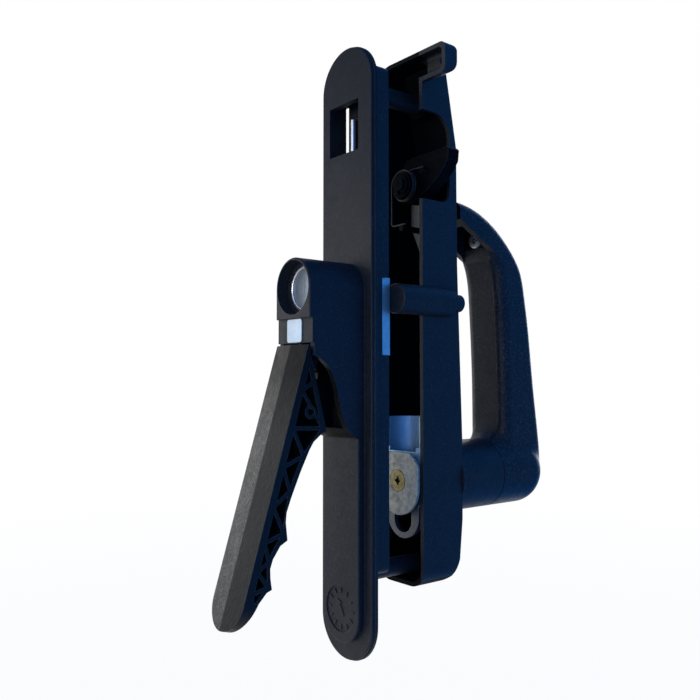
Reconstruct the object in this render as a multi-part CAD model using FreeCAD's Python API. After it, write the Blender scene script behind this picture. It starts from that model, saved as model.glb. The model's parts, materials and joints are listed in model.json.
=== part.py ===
import FreeCAD, Part
import math
import os

os.makedirs("parts", exist_ok=True)

# Caravan door lock, millimetres. The origin is the middle of the outer plate's back face.
# -Y is outside the door, +Y is inside, +X is the door's closing edge and +Z is up.

V = FreeCAD.Vector
AXIS_X = V(1, 0, 0)
AXIS_Y = V(0, 1, 0)
AXIS_Z = V(0, 0, 1)

# Fits
RUNNING_FIT = 0.05
MOVING_GAP = 0.4
PIN_SLOT_PLAY = 0.3
SEAT_GAP = 0.1
# How far a cutter runs past the face it opens, and how far joined shapes run into each other
PAST = 1.0
# A depth behind every piece
BEYOND = 140.0
# Lengths closer than this count as equal when an edge is picked
SAME = 0.01

# Outer plate
PLATE_LENGTH = 290.0
PLATE_WIDTH = 38.4
PLATE_THICKNESS = 3.3
PLATE_LIP_THICKNESS = 1.5
PLATE_LIP_INSET = 0.5
PLATEAU_HALF = 13.5
PLATEAU_HEIGHT = 3.5
PLATEAU_BOTTOM = -136.0
PLATEAU_EDGE_RADIUS = 0.7
PLATE_EDGE_RADIUS = 0.5
WINDOW_LEFT = -13.0
WINDOW_RIGHT = 9.2
WINDOW_BOTTOM = 93.9
WINDOW_TOP = 118.2
DIAL_Z = -120.6
DIAL_RADIUS = 10.7
DIAL_DEPTH = 0.6
DIAL_MARKS = 12
DIAL_MARK_HEIGHT = 0.4
DIAL_MARK_HALF = 0.45
DIAL_MARK_INNER = 7.2
DIAL_MARK_OUTER = 9.6
ARROW_HALF = 0.6
ARROW_HEAD_HALF = 2.0
ARROW_TAIL = 3.6
ARROW_NECK = 2.2
ARROW_TIP = 5.0
ARROW_TURN = -30.0

# Lever housing on the outer plate
HOUSING_DEPTH = 34.1
HOUSING_HALF = PLATEAU_HALF
HOUSING_EDGE_RADIUS = 0.9
HOUSING_LOW_MIDDLE = -55.0
BARREL_Z = 27.2
NECK_TOP = 13.1
NECK_BOTTOM = 2.0
NECK_RECESS = 1.5
NECK_WALL = 1.5
CAVITY_HALF = 10.6
CAVITY_TOP = 11.0
CAVITY_BOTTOM = -36.5
CAVITY_FLOOR_Y = -5.0
RELIEF_Y = -HOUSING_DEPTH + 2.5
SLANT_START_Z = -3.6
SLANT_MID_Y = -17.3
SLANT_MID_Z = -26.1
SLANT_LOW_Y = -12.8
SLANT_LOW_Z = -37.0
SLANT_FOOT_Z = -41.5
SLIDER_PORT_FAR = -7.2
SLIDER_PORT_NEAR = -0.8
SLIDER_PORT_TOP = 8.0
SLIDER_PORT_BOTTOM = -20.0

# Spigot, the wall behind the plate that stands in the door's cut-out
SPIGOT_HALF = 16.0
SPIGOT_TOP = 134.0
SPIGOT_BOTTOM = -104.0
SPIGOT_DEPTH = 9.6
SPIGOT_WALL = 2.0
SPIGOT_CORNER = 3.5
SPIGOT_GROOVE = 0.5
NOTCH_TOP = 33.7
NOTCH_BOTTOM = -2.9
NOTCH_FLOOR_Y = 5.5
# The far wall is lower beside the window, and a web closes the back of the window
WINDOW_GAP_Y = 7.8
WINDOW_GAP_BOTTOM = 88.0
WINDOW_GAP_TOP = 122.5
WEB_TOP = 125.0
WEB_FAR = -12.4
WEB_FRONT_Y = 8.2

# Lever, drawn closed and then turned out to the photographed angle
LEVER_ANGLE = 16.5
LEVER_PIVOT_INSET = 5.9
LEVER_PIVOT_Y = -HOUSING_DEPTH + LEVER_PIVOT_INSET
LEVER_PIVOT_Z = -2.3
LEVER_PIVOT_DEPTH = 6.5
LEVER_PIVOT_DROP = 1.5
LEVER_HALF = 12.4
LEVER_LENGTH = 124.6
LEVER_RIDGE = 0.9
LEVER_SKIN = 2.6
LEVER_FLANGE = 1.6
LEVER_RIB = 1.7
LEVER_WEB = 2.0
LEVER_BOSS_ALONG = 27.8
LEVER_BOSS_DEPTH = 10.2
LEVER_BOSS_RADIUS = 3.0
LEVER_BOSS_HOLE = 1.4
LEVER_BOSS_INSET = 0.8
LEVER_BOSS_HOLE_END = 4.0
LEVER_TIP_DEPTH = 2.6
KNUCKLE_RADIUS = 3.6
KNUCKLE_FAR = -9.5
KNUCKLE_NEAR = -0.5
EAR_FAR = 7.3
EAR_NEAR = 9.5
ARM_FOOT_ALONG = 10.0
ARM_FOOT_DEPTH = 5.4
ARM_RADIUS = 2.8
TONGUE_REACH = 12.0
TONGUE_DROP = 3.0
TONGUE_ARM_RADIUS = 1.2
TONGUE_TIP_RADIUS = 2.0
TONGUE_X = -4.0
TONGUE_HALF = 1.6
LEVER_PIN_RADIUS = 1.6
LEVER_PIN_NEAR = 12.2
LEVER_PIN_FAR = -HOUSING_HALF

# Rear outline of the lever: distance down from its top edge, depth behind its front face
LEVER_REAR = [
    (2.0, 1.4), (34.0, 20.4), (34.8, 18.6), (39.9, 14.9), (43.8, 13.7), (53.8, 11.8),
    (65.5, 10.2), (71.9, 9.7), (76.0, 10.5), (83.0, 13.5), (85.8, 10.6), (91.7, 8.5),
    (95.7, 8.3), (99.6, 9.6), (103.8, 11.6), (105.4, 9.4), (110.1, 6.9), (116.8, 4.9),
]
# Where the truss ribs meet the skin and the rear flange in turn
LEVER_STATIONS = [
    7.0, 15.0, 20.0, 33.0, 37.0, 47.0, 54.0, 63.0, 71.0, 80.5, 86.0, 93.0, 98.0, 103.0, 107.0, 113.0,
]

# Lock barrel
BORE_LIP_DEPTH = 6.1
BORE_LIP_Y = -HOUSING_DEPTH + BORE_LIP_DEPTH
BARREL_LIP_THICKNESS = 0.9
BARREL_FACE_Y = BORE_LIP_Y + BARREL_LIP_THICKNESS
BARREL_HOLE_RADIUS = 12.35
BARREL_LIP_RADIUS = 11.0
BARREL_RADIUS = 11.6
RING_OUTER = 10.6
RING_INNER = 9.1
RING_HEIGHT = 1.4
RING_SEAT = 0.6
RING_EDGE_RADIUS = 0.45
PLUG_HEAD_RADIUS = 8.8
PLUG_HEAD_DEPTH = 2.5
PLUG_RADIUS = 5.9
PLUG_SQUARE = 6.0
KEYWAY_WIDTH = 1.4
KEYWAY_HEIGHT = 8.5
KEYWAY_DEPTH = 14.0
SHUTTER_SINK = 0.15
SHUTTER_THICKNESS = 0.8
BARREL_PLATE_THICKNESS = 1.5
BARREL_PLATE_HALF = 10.5
BARREL_PLATE_REACH = 17.5
BARREL_PLATE_CORNER = 4.0
BARREL_SCREW_OFFSET = 14.6
BARREL_SCREW_LENGTH = 3.6
SMALL_SCREW_RADIUS = 1.25
SMALL_HEAD_RADIUS = 2.3
SMALL_HEAD_HEIGHT = 1.4
SLOT_WIDTH = 0.7
SLOT_DEPTH = 0.7
CAM_THICKNESS = 1.2
CAM_LENGTH = 11.4
CAM_HALF = 4.5
CAM_FRONT_Y = 1.8
CAM_SCREW_RADIUS = 1.5
CAM_SCREW_HEAD = 3.6
CAM_SCREW_HEAD_HEIGHT = 1.6
CAM_SCREW_LENGTH = 8.0
CAM_DISC_RADIUS = 6.5
CAM_TIP_RADIUS = 2.0

# Blank label in the neck
LABEL_HALF = 5.6
LABEL_BOTTOM = 2.3
LABEL_TOP = 12.8
LABEL_THICKNESS = 0.4
LABEL_CORNER = 1.2
LABEL_X = -0.1

# Galvanised slider behind the outer plate
SLIDER_FRONT_Y = 3.4
SLIDER_SHEET = 1.5
SLIDER_HALF = 13.7
SLIDER_BACK_Y = 12.2
SLIDER_WEB_TOP = 7.0
SLIDER_WEB_BOTTOM = -32.0
SLIDER_WAIST = 7.4
FORK_REACH = 9.6
FORK_FRONT_Y = LEVER_PIVOT_Y + FORK_REACH
FORK_MOUTH = 5.2
FORK_ROOT_Y = FORK_FRONT_Y + FORK_MOUTH
FORK_PRONG = 3.0
FORK_HALF = 2.2
ROD_RADIUS = 1.3
ROD_X = -6.5
ROD_Y = 6.2
ROD_TOP = 113.5
ROD_BOTTOM = -6.0
ROD_GUIDE_Z = 78.0
ROD_GUIDE_HEIGHT = 6.0
ROD_GUIDE_HALF = 3.0
KEEPER_TOP = -14.0
KEEPER_BOTTOM = -26.0
KEEPER_HALF = 13.0
KEEPER_THICKNESS = 1.5
KEEPER_SCREW_X = 10.6
KEEPER_POST_RADIUS = 2.6
KEEPER_SCREW_LENGTH = 5.8

# Inner case
CASE_HALF = 16.5
CASE_RIM_Y = 31.1
CASE_TOP = 147.7
CASE_BOTTOM = -115.0
CASE_CORNER = 9.0
CASE_WALL = 2.2
CASE_FLOOR = 2.5
# Depth of the flat stretch that carries the handle's hub
CASE_BACK_Y = 58.2
# Back outline of the case: depth, height
CASE_BACK = [
    (46.5, CASE_TOP), (54.9, 103.0), (55.2, 43.5), (CASE_BACK_Y, -43.0), (CASE_BACK_Y, -84.0),
    (56.2, -104.0), (52.5, -112.0), (48.0, CASE_BOTTOM),
]
LUG_REACH = 32.3
LUG_BOTTOM = 132.3
LUG_DEPTH = 8.2
LUG_CORNER = 3.6
LUG_LOW_RADIUS = 7.0
LUG_HIGH_RADIUS = 4.0
LUG_HOLE_INSET = 7.3
LUG_HOLE_X = LUG_REACH - LUG_HOLE_INSET
LUG_HOLE_Z = (LUG_BOTTOM + LUG_LOW_RADIUS + CASE_TOP - LUG_HIGH_RADIUS) / 2
LUG_HOLE_RADIUS = 2.2
NOTCH_ARCH_TOP = 118.6
NOTCH_ARCH_BOTTOM = 74.3
NOTCH_ARCH_BACK = 50.2
NOTCH_ARCH_RADIUS = 11.0
NOTCH_FOOT_RADIUS = 6.0
CASE_INNER_BACK = 54.0
HOOK_PIN_BACK_Y = 53.5
POST_Z = 24.0
POST_RADIUS = 7.2
POST_FRONT_Y = 12.7
POST_BACK_Y = 48.3
POST_TAIL_RADIUS = 4.4
POST_TAIL_BACK_Y = 56.1
POST_SCREW_RADIUS = 2.0
POST_HEAD_RADIUS = 3.0
POST_HEAD_BACK_Y = 58.0
POST_EDGE_RADIUS = 0.8
POST_HEAD_EDGE_RADIUS = 1.2
POST_SCREW_TIP_Y = 22.7
SLIDE_LEDGE_DEPTH = 2.0
SLIDE_LEDGE_INNER = 10.8
SLIDE_LEDGE_BOTTOM = -95.0
SLIDE_LEDGE_TOP = -60.0

# Through screws that join the halves across the door
SCREW_UPPER_Z = 127.0
SCREW_LOWER_Z = -106.0
PILLAR_RADIUS = 4.5
PILLAR_MEET_Y = 20.0
SLEEVE_SINK = 0.6
THROUGH_RADIUS = 2.5
THROUGH_TIP_Y = 3.0
THROUGH_HEAD_RADIUS = 4.6
THROUGH_HEAD_HEIGHT = 3.0
THROUGH_HEAD_EDGE = 1.0
CROSS_DEPTH = 1.6
CROSS_REACH = 2.2
CROSS_HALF = 0.6
CROSS_HOLE_RADIUS = 1.4
SEAT_CUP_RADIUS = 6.8
SEAT_CUP_DEPTH = 2.5
UPPER_SEAT_Y = 45.5
LOWER_SEAT_Y = 51.5
INSERT_RADIUS = 3.4
INSERT_LENGTH = 12.0

# Hook latch
HOOK_Z = 84.0
HOOK_FRONT_Y = 36.7
HOOK_BACK_Y = 44.0
HOOK_TOP = 97.6
# Nose of the hook from its top edge round to its hub: side, height
HOOK_NOSE = [
    (27.8, 98.2), (28.8, 97.2), (28.2, 92.0), (25.2, 88.0), (20.4, 84.0), (14.4, 80.3), (8.0, 76.6),
]
HOOK_HUB_RADIUS = 8.6
HOOK_BOSS_RADIUS = 6.3
HOOK_BOSS_FRONT_Y = 32.0
HOOK_PIN_RADIUS = 3.0
HOOK_PIN_PROUD = 1.8
HOOK_PIN_GROOVE = 0.5
HOOK_PIN_COLLAR = 1.2
HOOK_CLIP_RADIUS = 5.0
HOOK_CLIP_THICKNESS = 0.9
HOOK_CLIP_MOUTH = 1.6
HOOK_ARM = 8.0
HOOK_TURN = 49.0
TAIL_RADIUS = 3.9
DRIVE_PIN_RADIUS = 1.6
DRIVE_PIN_FRONT_Y = 38.6
DRIVE_PIN_BACK_Y = 51.9
STUD_X = 11.5
STUD_RADIUS = 1.3
STUD_HEIGHT = 1.6

# Torsion springs
HOOK_WIRE = 0.5
HOOK_COIL_RADIUS = 7.6
HOOK_COIL_QUARTERS = 9
HOOK_COIL_FRONT_Y = 32.7
HOOK_COIL_BACK_Y = 36.1
HOOK_LEG_Z = 64.0
HOOK_LEG_BEND = 2.0
HOOK_LEG_END_X = 3.0
HOOK_LEG_TIP_X = 12.5
PEG_X = 1.0
PEG_RADIUS = 1.5
PEG_PROUD = 1.5
LEVER_WIRE = 0.35
LEVER_COIL_RADIUS = 2.35
LEVER_COIL_QUARTERS = 16
LEVER_COIL_START_X = 1.2
LEVER_COIL_PITCH = 1.25
LEVER_LEG_TOP = 7.0
LEVER_LEG_BOTTOM = -9.2

# Drive slide, pull bar and the cam on the handle's spindle
HUB_Z = -64.4
SLIDE_FRONT_Y = 32.7
SLIDE_THICKNESS = 2.5
SLIDE_HALF = CASE_HALF - CASE_WALL - MOVING_GAP
SLIDE_LOOP_HALF = 11.3
SLIDE_LOOP_BOTTOM = -93.0
SLIDE_SLOT_HALF = 6.2
SLIDE_SLOT_BOTTOM = -90.3
SLIDE_SLOT_TOP = -51.6
SLIDE_SHOULDER_Z = -76.0
SLIDE_TOP = -48.0
SLIDE_TRAVEL = 6.7
TROUGH_TOP = -33.0
TROUGH_SHEET = 1.6
TROUGH_PLAY = 0.3
TROUGH_RADIUS = CASE_HALF - CASE_WALL - TROUGH_PLAY - TROUGH_SHEET / 2
SLIDE_NOTCH_HALF = 9.6
SLIDE_NOTCH_LOW = SLIDE_SLOT_TOP + TROUGH_SHEET
CRANK_MARGIN = 0.6
CRANK_ANGLE = 16.35
CRANK_PIN_RADIUS = 1.8
CRANK_PIN_BACK_Y = 34.9
CRANK_SLOT_SHORT = 2.7
CAM_PLATE_FRONT_Y = 29.3
CAM_PLATE_THICKNESS = 1.5
CAM_PLATE_HALF = CASE_HALF - CASE_WALL - SEAT_GAP
CRANK_RADIUS = CAM_PLATE_HALF - CRANK_PIN_RADIUS - CRANK_MARGIN
CRANK_SLOT_INNER = CRANK_SLOT_SHORT - CRANK_RADIUS
CAM_PLATE_ABOVE = 14.0
CAM_PLATE_BELOW = 16.8
CAM_PLATE_CHAMFER = 5.5
CAM_PLATE_CORNER = 3.0
CAM_PLATE_GROOVE = 0.4
SPINDLE_RADIUS = 5.5
TROUGH_LOW = HUB_Z + SPINDLE_RADIUS + MOVING_GAP + SLIDE_TRAVEL
SPINDLE_BACK_Y = 112.0
SPINDLE_SQUARE = 7.0
SPINDLE_OVERLAP = 2.0
CAM_BOLT_RADIUS = 2.5
CAM_BOLT_HEAD_RADIUS = 5.3
CAM_BOLT_HEAD_DEPTH = 2.2
CAM_BOLT_LENGTH = 16.0
SPACER_RADIUS = 8.4
TROUGH_BACK_Y = SLIDE_FRONT_Y + SLIDE_THICKNESS + TROUGH_RADIUS + TROUGH_SHEET / 2
PULL_BAR_FRONT_Y = TROUGH_BACK_Y + RUNNING_FIT
PULL_BAR_THICKNESS = 2.0
PULL_BAR_HALF = 3.4
PULL_BAR_BOTTOM = -47.0
PULL_BAR_BEND_LOW = 50.0
PULL_BAR_BEND_HIGH = 66.0
PULL_BAR_TOP = 92.5
PULL_BAR_SHIFT = 0.4
PULL_SLOT_SWEEP = 0.7
RIVET_Z = -41.0
RIVET_RADIUS = 1.8
RIVET_HEAD_RADIUS = 3.2
RIVET_HEAD_HEIGHT = 1.2
RIVET_PROUD = 0.15

# Hub and interior handle
HUB_RADIUS = 18.2
HUB_FRONT_Y = CASE_BACK_Y
HUB_BACK_Y = 88.6
BUSH_RADIUS = 8.0
BUSH_LENGTH = 8.0
HUB_SCREW_RADIUS = 1.75
HUB_SCREW_HEAD = 3.0
HUB_SCREW_ANGLES = (90, 210, 330)
HUB_SCREW_SPREAD = math.cos(math.radians(30))
HUB_SCREW_CIRCLE = (CASE_HALF - CASE_WALL - MOVING_GAP - HUB_SCREW_HEAD) / HUB_SCREW_SPREAD
HUB_SCREW_LENGTH = 12.0
HUB_SCREW_HEAD_HEIGHT = 2.0
HUB_SCREW_SHORT = 2.0
HUB_EDGE_RADIUS = 0.5
HUB_BORE_GAP = 0.8
HUB_HANDLE_GAP = 0.3
HANDLE_FRONT_Y = HUB_BACK_Y + HUB_HANDLE_GAP
HANDLE_HALF = 13.5
KNUCKLE_BACK_Y = 126.9
KNUCKLE_EDGE_RADIUS = 13.0
KNUCKLE_BLEND_RADIUS = 12.0
HANDLE_SIDE_RADIUS = 5.5
ARM_END_Y = 61.0
ARM_END_LOW_Z = 68.5
# Outer and inner outlines of the handle's grip: depth, height
GRIP_OUTER = [
    (120.5, -75.0), (125.0, -69.5), (127.0, -61.0), (126.6, -50.0), (125.0, -38.0), (121.7, -15.0),
    (117.4, 19.0), (115.3, 31.0), (111.6, 45.5), (101.0, 59.4), (83.0, 72.4), (ARM_END_Y, 78.2),
]
GRIP_INNER = [(95.4, -54.0), (94.9, -15.0), (92.8, 28.0), (90.3, 45.5), (85.4, 55.2)]
INSERT_HALF = 7.6
INSERT_DEPTH = 5.0
INSERT_TOP = 50.0
INSERT_BOTTOM = -43.0
INSERT_MARGIN = 3.0
POCKET_HALF = 10.0
POCKET_BACK_Y = 88.5
# Side outline of the pocket under the handle's arm: depth, height
POCKET_OUTLINE = [(POCKET_BACK_Y, 40.0), (POCKET_BACK_Y, 67.0), (84.0, 69.8), (66.0, 73.4), (66.0, 40.0)]
HANDLE_SCREW_Z = 62.2
HANDLE_SCREW_RADIUS = 1.8
HANDLE_HEAD_RADIUS = 4.6
HANDLE_HEAD_HEIGHT = 2.4
HANDLE_SCREW_LENGTH = 7.0
HANDLE_SCREW_SHORT = 1.0
HANDLE_HEAD_EDGE = 0.8


# Basic shapes
def box(x0, x1, y0, y1, z0, z1):
    return Part.makeBox(x1 - x0, y1 - y0, z1 - z0, V(x0, y0, z0))


def rod_y(x, z, radius, y0, y1):
    return Part.makeCylinder(radius, y1 - y0, V(x, y0, z), AXIS_Y)


def rod_x(y, z, radius, x0, x1):
    return Part.makeCylinder(radius, x1 - x0, V(x0, y, z), AXIS_X)


def rod_z(x, y, radius, z0, z1):
    return Part.makeCylinder(radius, z1 - z0, V(x, y, z0), AXIS_Z)


def fuse(shapes):
    return shapes[0].multiFuse(shapes[1:]).removeSplitter()


def group(shapes):
    return Part.makeCompound(shapes)


def prism_y(points, y0, y1):
    wire = Part.makePolygon([V(x, y0, z) for x, z in points + points[:1]])
    return Part.Face(wire).extrude(V(0, y1 - y0, 0))


def prism_x(points, x0, x1):
    wire = Part.makePolygon([V(x0, y, z) for y, z in points + points[:1]])
    return Part.Face(wire).extrude(V(x1 - x0, 0, 0))


def pill_wire(half, z_low, z_high, y):
    # z_low and z_high are the middles of the two round ends
    low = Part.Arc(V(-half, y, z_low), V(0, y, z_low - half), V(half, y, z_low)).toShape()
    near = Part.makeLine(V(half, y, z_low), V(half, y, z_high))
    high = Part.Arc(V(half, y, z_high), V(0, y, z_high + half), V(-half, y, z_high)).toShape()
    far = Part.makeLine(V(-half, y, z_high), V(-half, y, z_low))
    return Part.Wire([low, near, high, far])


def pill(half, z_low, z_high, y0, y1):
    return Part.Face(pill_wire(half, z_low, z_high, y0)).extrude(V(0, y1 - y0, 0))


def rounded_slab(x0, x1, z0, z1, radius, y0, y1):
    slab = box(x0, x1, y0, y1, z0, z1)
    corners = [e for e in slab.Edges if abs(e.tangentAt(e.FirstParameter).y) > 0.99]
    return slab.makeFillet(radius, corners)


def stadium_x(start, end, radius, x0, x1):
    # a bar with round ends between two points given as depth and height
    along = V(0, end[0] - start[0], end[1] - start[1])
    side = V(0, -along.z, along.y).normalize() * radius
    a = V(x0, start[0], start[1])
    b = V(x0, end[0], end[1])
    blade = Part.Face(Part.makePolygon([a + side, b + side, b - side, a - side, a + side]))
    slab = blade.extrude(V(x1 - x0, 0, 0))
    return fuse([slab, rod_x(start[0], start[1], radius, x0, x1), rod_x(end[0], end[1], radius, x0, x1)])


def edges_where(shape, test):
    return [e for e in shape.Edges if test(e.BoundBox)]


def flat_in_y(bounds, y):
    return abs(bounds.YMin - y) < SAME and abs(bounds.YMax - y) < SAME


# Wound wire: a coil is a chain of biarcs, two arcs for each quarter turn
def arc_from_tangent(start, tangent, end):
    chord = end - start
    across = tangent - chord * (tangent.dot(chord) / chord.dot(chord))
    if across.Length < 1e-6:
        return Part.makeLine(start, end)
    angle = tangent.getAngle(chord)
    rise = chord.Length / 2 * math.tan(angle / 2)
    middle = (start + end) * 0.5 + across.normalize() * rise
    return Part.Arc(start, middle, end).toShape()


def biarc(start, start_tangent, end, end_tangent):
    chord = end - start
    total = start_tangent + end_tangent
    spread = 2 * (1 - start_tangent.dot(end_tangent))
    along = chord.dot(total)
    reach = (math.sqrt(along * along + spread * chord.dot(chord)) - along) / spread
    joint = (start + start_tangent * reach + end - end_tangent * reach) * 0.5
    tangent = (end - end_tangent * reach - start - start_tangent * reach).normalize()
    return [arc_from_tangent(start, start_tangent, joint), arc_from_tangent(joint, tangent, end)]


def coil_points(place, steps):
    # place(t) gives the point at quarter turn t, and the tangent comes from its neighbourhood
    nudge = 1e-4
    stations = []
    for step in range(steps + 1):
        tangent = place(step + nudge) - place(step - nudge)
        stations.append((place(step), tangent.normalize()))
    return stations


def coil_edges(stations):
    edges = []
    for (start, start_tangent), (end, end_tangent) in zip(stations, stations[1:]):
        edges += biarc(start, start_tangent, end, end_tangent)
    return edges


def tube(edges, radius):
    spine = Part.Wire(edges)
    first = spine.Edges[0]
    start = first.valueAt(first.FirstParameter)
    heading = first.tangentAt(first.FirstParameter)
    profile = Part.Wire(Part.makeCircle(radius, start, heading))
    pipe = Part.BRepOffsetAPI.MakePipeShell(spine)
    pipe.add(profile)
    pipe.build()
    pipe.makeSolid()
    return pipe.shape()


def least_gap(edges, wire_radius, apart):
    # least distance between stretches of wire that are at least this far apart along it
    points = []
    run = 0.0
    for edge in edges:
        for point in edge.discretize(12)[:-1]:
            points.append((run, point))
            run += edge.Length / 11
    least = 1e9
    for i, (here, p) in enumerate(points):
        for there, q in points[i + 1:]:
            if there - here > apart:
                least = min(least, (p - q).Length)
    return least - 2 * wire_radius


# Outer plate: plate, raised panel and lever housing in one moulding
def plate_body():
    half = PLATE_WIDTH / 2
    middle = PLATE_LENGTH / 2 - half
    lip = pill(half, -middle, middle, -PLATE_LIP_THICKNESS, 0)
    face = pill(half - PLATE_LIP_INSET, -middle, middle, -PLATE_THICKNESS, 0)
    rim = edges_where(face, lambda b: flat_in_y(b, -PLATE_THICKNESS))
    return fuse([lip, face.makeFillet(PLATE_EDGE_RADIUS, rim)])


def plateau():
    front = -PLATE_THICKNESS - PLATEAU_HEIGHT
    panel = pill(PLATEAU_HALF, PLATEAU_BOTTOM + PLATEAU_HALF, BARREL_Z, front, -PLATE_LIP_THICKNESS)
    rim = edges_where(panel, lambda b: flat_in_y(b, front))
    return panel.makeFillet(PLATEAU_EDGE_RADIUS, rim)


def housing():
    block = pill(HOUSING_HALF, HOUSING_LOW_MIDDLE, BARREL_Z, -HOUSING_DEPTH, -PLATE_LIP_THICKNESS)
    rim = edges_where(block, lambda b: flat_in_y(b, -HOUSING_DEPTH))
    block = block.makeFillet(HOUSING_EDGE_RADIUS, rim)
    above = BARREL_Z + 2 * HOUSING_HALF
    ahead = -HOUSING_DEPTH - PAST
    foot_y = -PLATE_THICKNESS - PLATEAU_HEIGHT
    slant = Part.BSplineCurve()
    slant.interpolate([
        V(0, RELIEF_Y, SLANT_START_Z), V(0, SLANT_MID_Y, SLANT_MID_Z),
        V(0, SLANT_LOW_Y, SLANT_LOW_Z), V(0, foot_y, SLANT_FOOT_Z),
    ])
    corners = [
        V(0, foot_y, SLANT_FOOT_Z), V(0, 0, SLANT_FOOT_Z), V(0, 0, above), V(0, ahead, above),
        V(0, ahead, NECK_BOTTOM), V(0, RELIEF_Y, NECK_BOTTOM), V(0, RELIEF_Y, SLANT_START_Z),
    ]
    outline = Part.Wire([Part.makePolygon(corners), slant.toShape()])
    keep = Part.Face(outline).extrude(V(4 * HOUSING_HALF, 0, 0))
    keep.translate(V(-2 * HOUSING_HALF, 0, 0))
    return block.common(keep)


def housing_cavity():
    inner = -HOUSING_DEPTH + NECK_RECESS + NECK_WALL
    ahead = -HOUSING_DEPTH - PAST
    lip = NECK_BOTTOM - SEAT_GAP
    outline = [
        (inner, CAVITY_TOP), (CAVITY_FLOOR_Y, CAVITY_TOP), (CAVITY_FLOOR_Y, CAVITY_BOTTOM),
        (ahead, CAVITY_BOTTOM), (ahead, lip), (inner, lip),
    ]
    return prism_x(outline, -CAVITY_HALF, CAVITY_HALF)


def spigot_slab(inset, front, back):
    return rounded_slab(
        -SPIGOT_HALF + inset, SPIGOT_HALF - inset, SPIGOT_BOTTOM + inset, SPIGOT_TOP - inset,
        SPIGOT_CORNER - inset, front, back,
    )


def spigot_groove():
    outer = spigot_slab(-SEAT_GAP, -SPIGOT_GROOVE, PAST)
    return outer.cut(spigot_slab(SPIGOT_WALL + SEAT_GAP, -PAST, 2 * PAST))


def pillar_seats():
    return [
        rod_y(0, z, PILLAR_RADIUS + SEAT_GAP, -SPIGOT_GROOVE, SPIGOT_DEPTH + PAST)
        for z in (SCREW_UPPER_Z, SCREW_LOWER_Z)
    ]


def door_spigot():
    inset = SPIGOT_WALL
    outer = spigot_slab(0, -SPIGOT_GROOVE, SPIGOT_DEPTH)
    inner = spigot_slab(inset, -PAST, SPIGOT_DEPTH + PAST)
    notch = box(
        SPIGOT_HALF - 3 * inset, SPIGOT_HALF + PAST, NOTCH_FLOOR_Y, SPIGOT_DEPTH + PAST,
        NOTCH_BOTTOM, NOTCH_TOP,
    )
    gap = box(
        -SPIGOT_HALF - PAST, -SPIGOT_HALF + 2 * inset, WINDOW_GAP_Y, SPIGOT_DEPTH + PAST,
        WINDOW_GAP_BOTTOM, WINDOW_GAP_TOP,
    )
    web = box(WEB_FAR, SPIGOT_HALF - inset / 2, WEB_FRONT_Y, SPIGOT_DEPTH, WINDOW_GAP_BOTTOM, WEB_TOP)
    body = fuse([outer.cut(inner).cut(notch).cut(gap), web])
    for seat in pillar_seats():
        body = body.cut(seat)
    return body


def screw_pillars():
    pillars = []
    for z in (SCREW_UPPER_Z, SCREW_LOWER_Z):
        pillar = rod_y(0, z, PILLAR_RADIUS, -SPIGOT_GROOVE, PILLAR_MEET_Y)
        pillar = pillar.cut(rod_y(0, z, INSERT_RADIUS, PILLAR_MEET_Y - INSERT_LENGTH, BEYOND))
        pillars.append(pillar.cut(rod_y(0, z, THROUGH_RADIUS + SEAT_GAP, THROUGH_TIP_Y - PAST, BEYOND)))
    return group(pillars)


def dial_marks():
    floor = -PLATE_THICKNESS - PLATEAU_HEIGHT + DIAL_DEPTH
    top = floor - DIAL_MARK_HEIGHT
    root = floor + DIAL_MARK_HEIGHT
    marks = []
    for hour in range(DIAL_MARKS):
        mark = box(
            -DIAL_MARK_HALF, DIAL_MARK_HALF, top, root, DIAL_Z + DIAL_MARK_INNER, DIAL_Z + DIAL_MARK_OUTER
        )
        marks.append(mark.rotate(V(0, 0, DIAL_Z), AXIS_Y, hour * 360 / DIAL_MARKS))
    neck = DIAL_Z + ARROW_NECK
    shaft = box(-ARROW_HALF, ARROW_HALF, top, root, DIAL_Z - ARROW_TAIL, neck)
    corners = [(-ARROW_HEAD_HALF, neck), (ARROW_HEAD_HALF, neck), (0, DIAL_Z + ARROW_TIP)]
    arrow = fuse([shaft, prism_y(corners, top, root)])
    arrow.rotate(V(0, 0, DIAL_Z), AXIS_Y, ARROW_TURN)
    return marks + [arrow]


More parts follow.
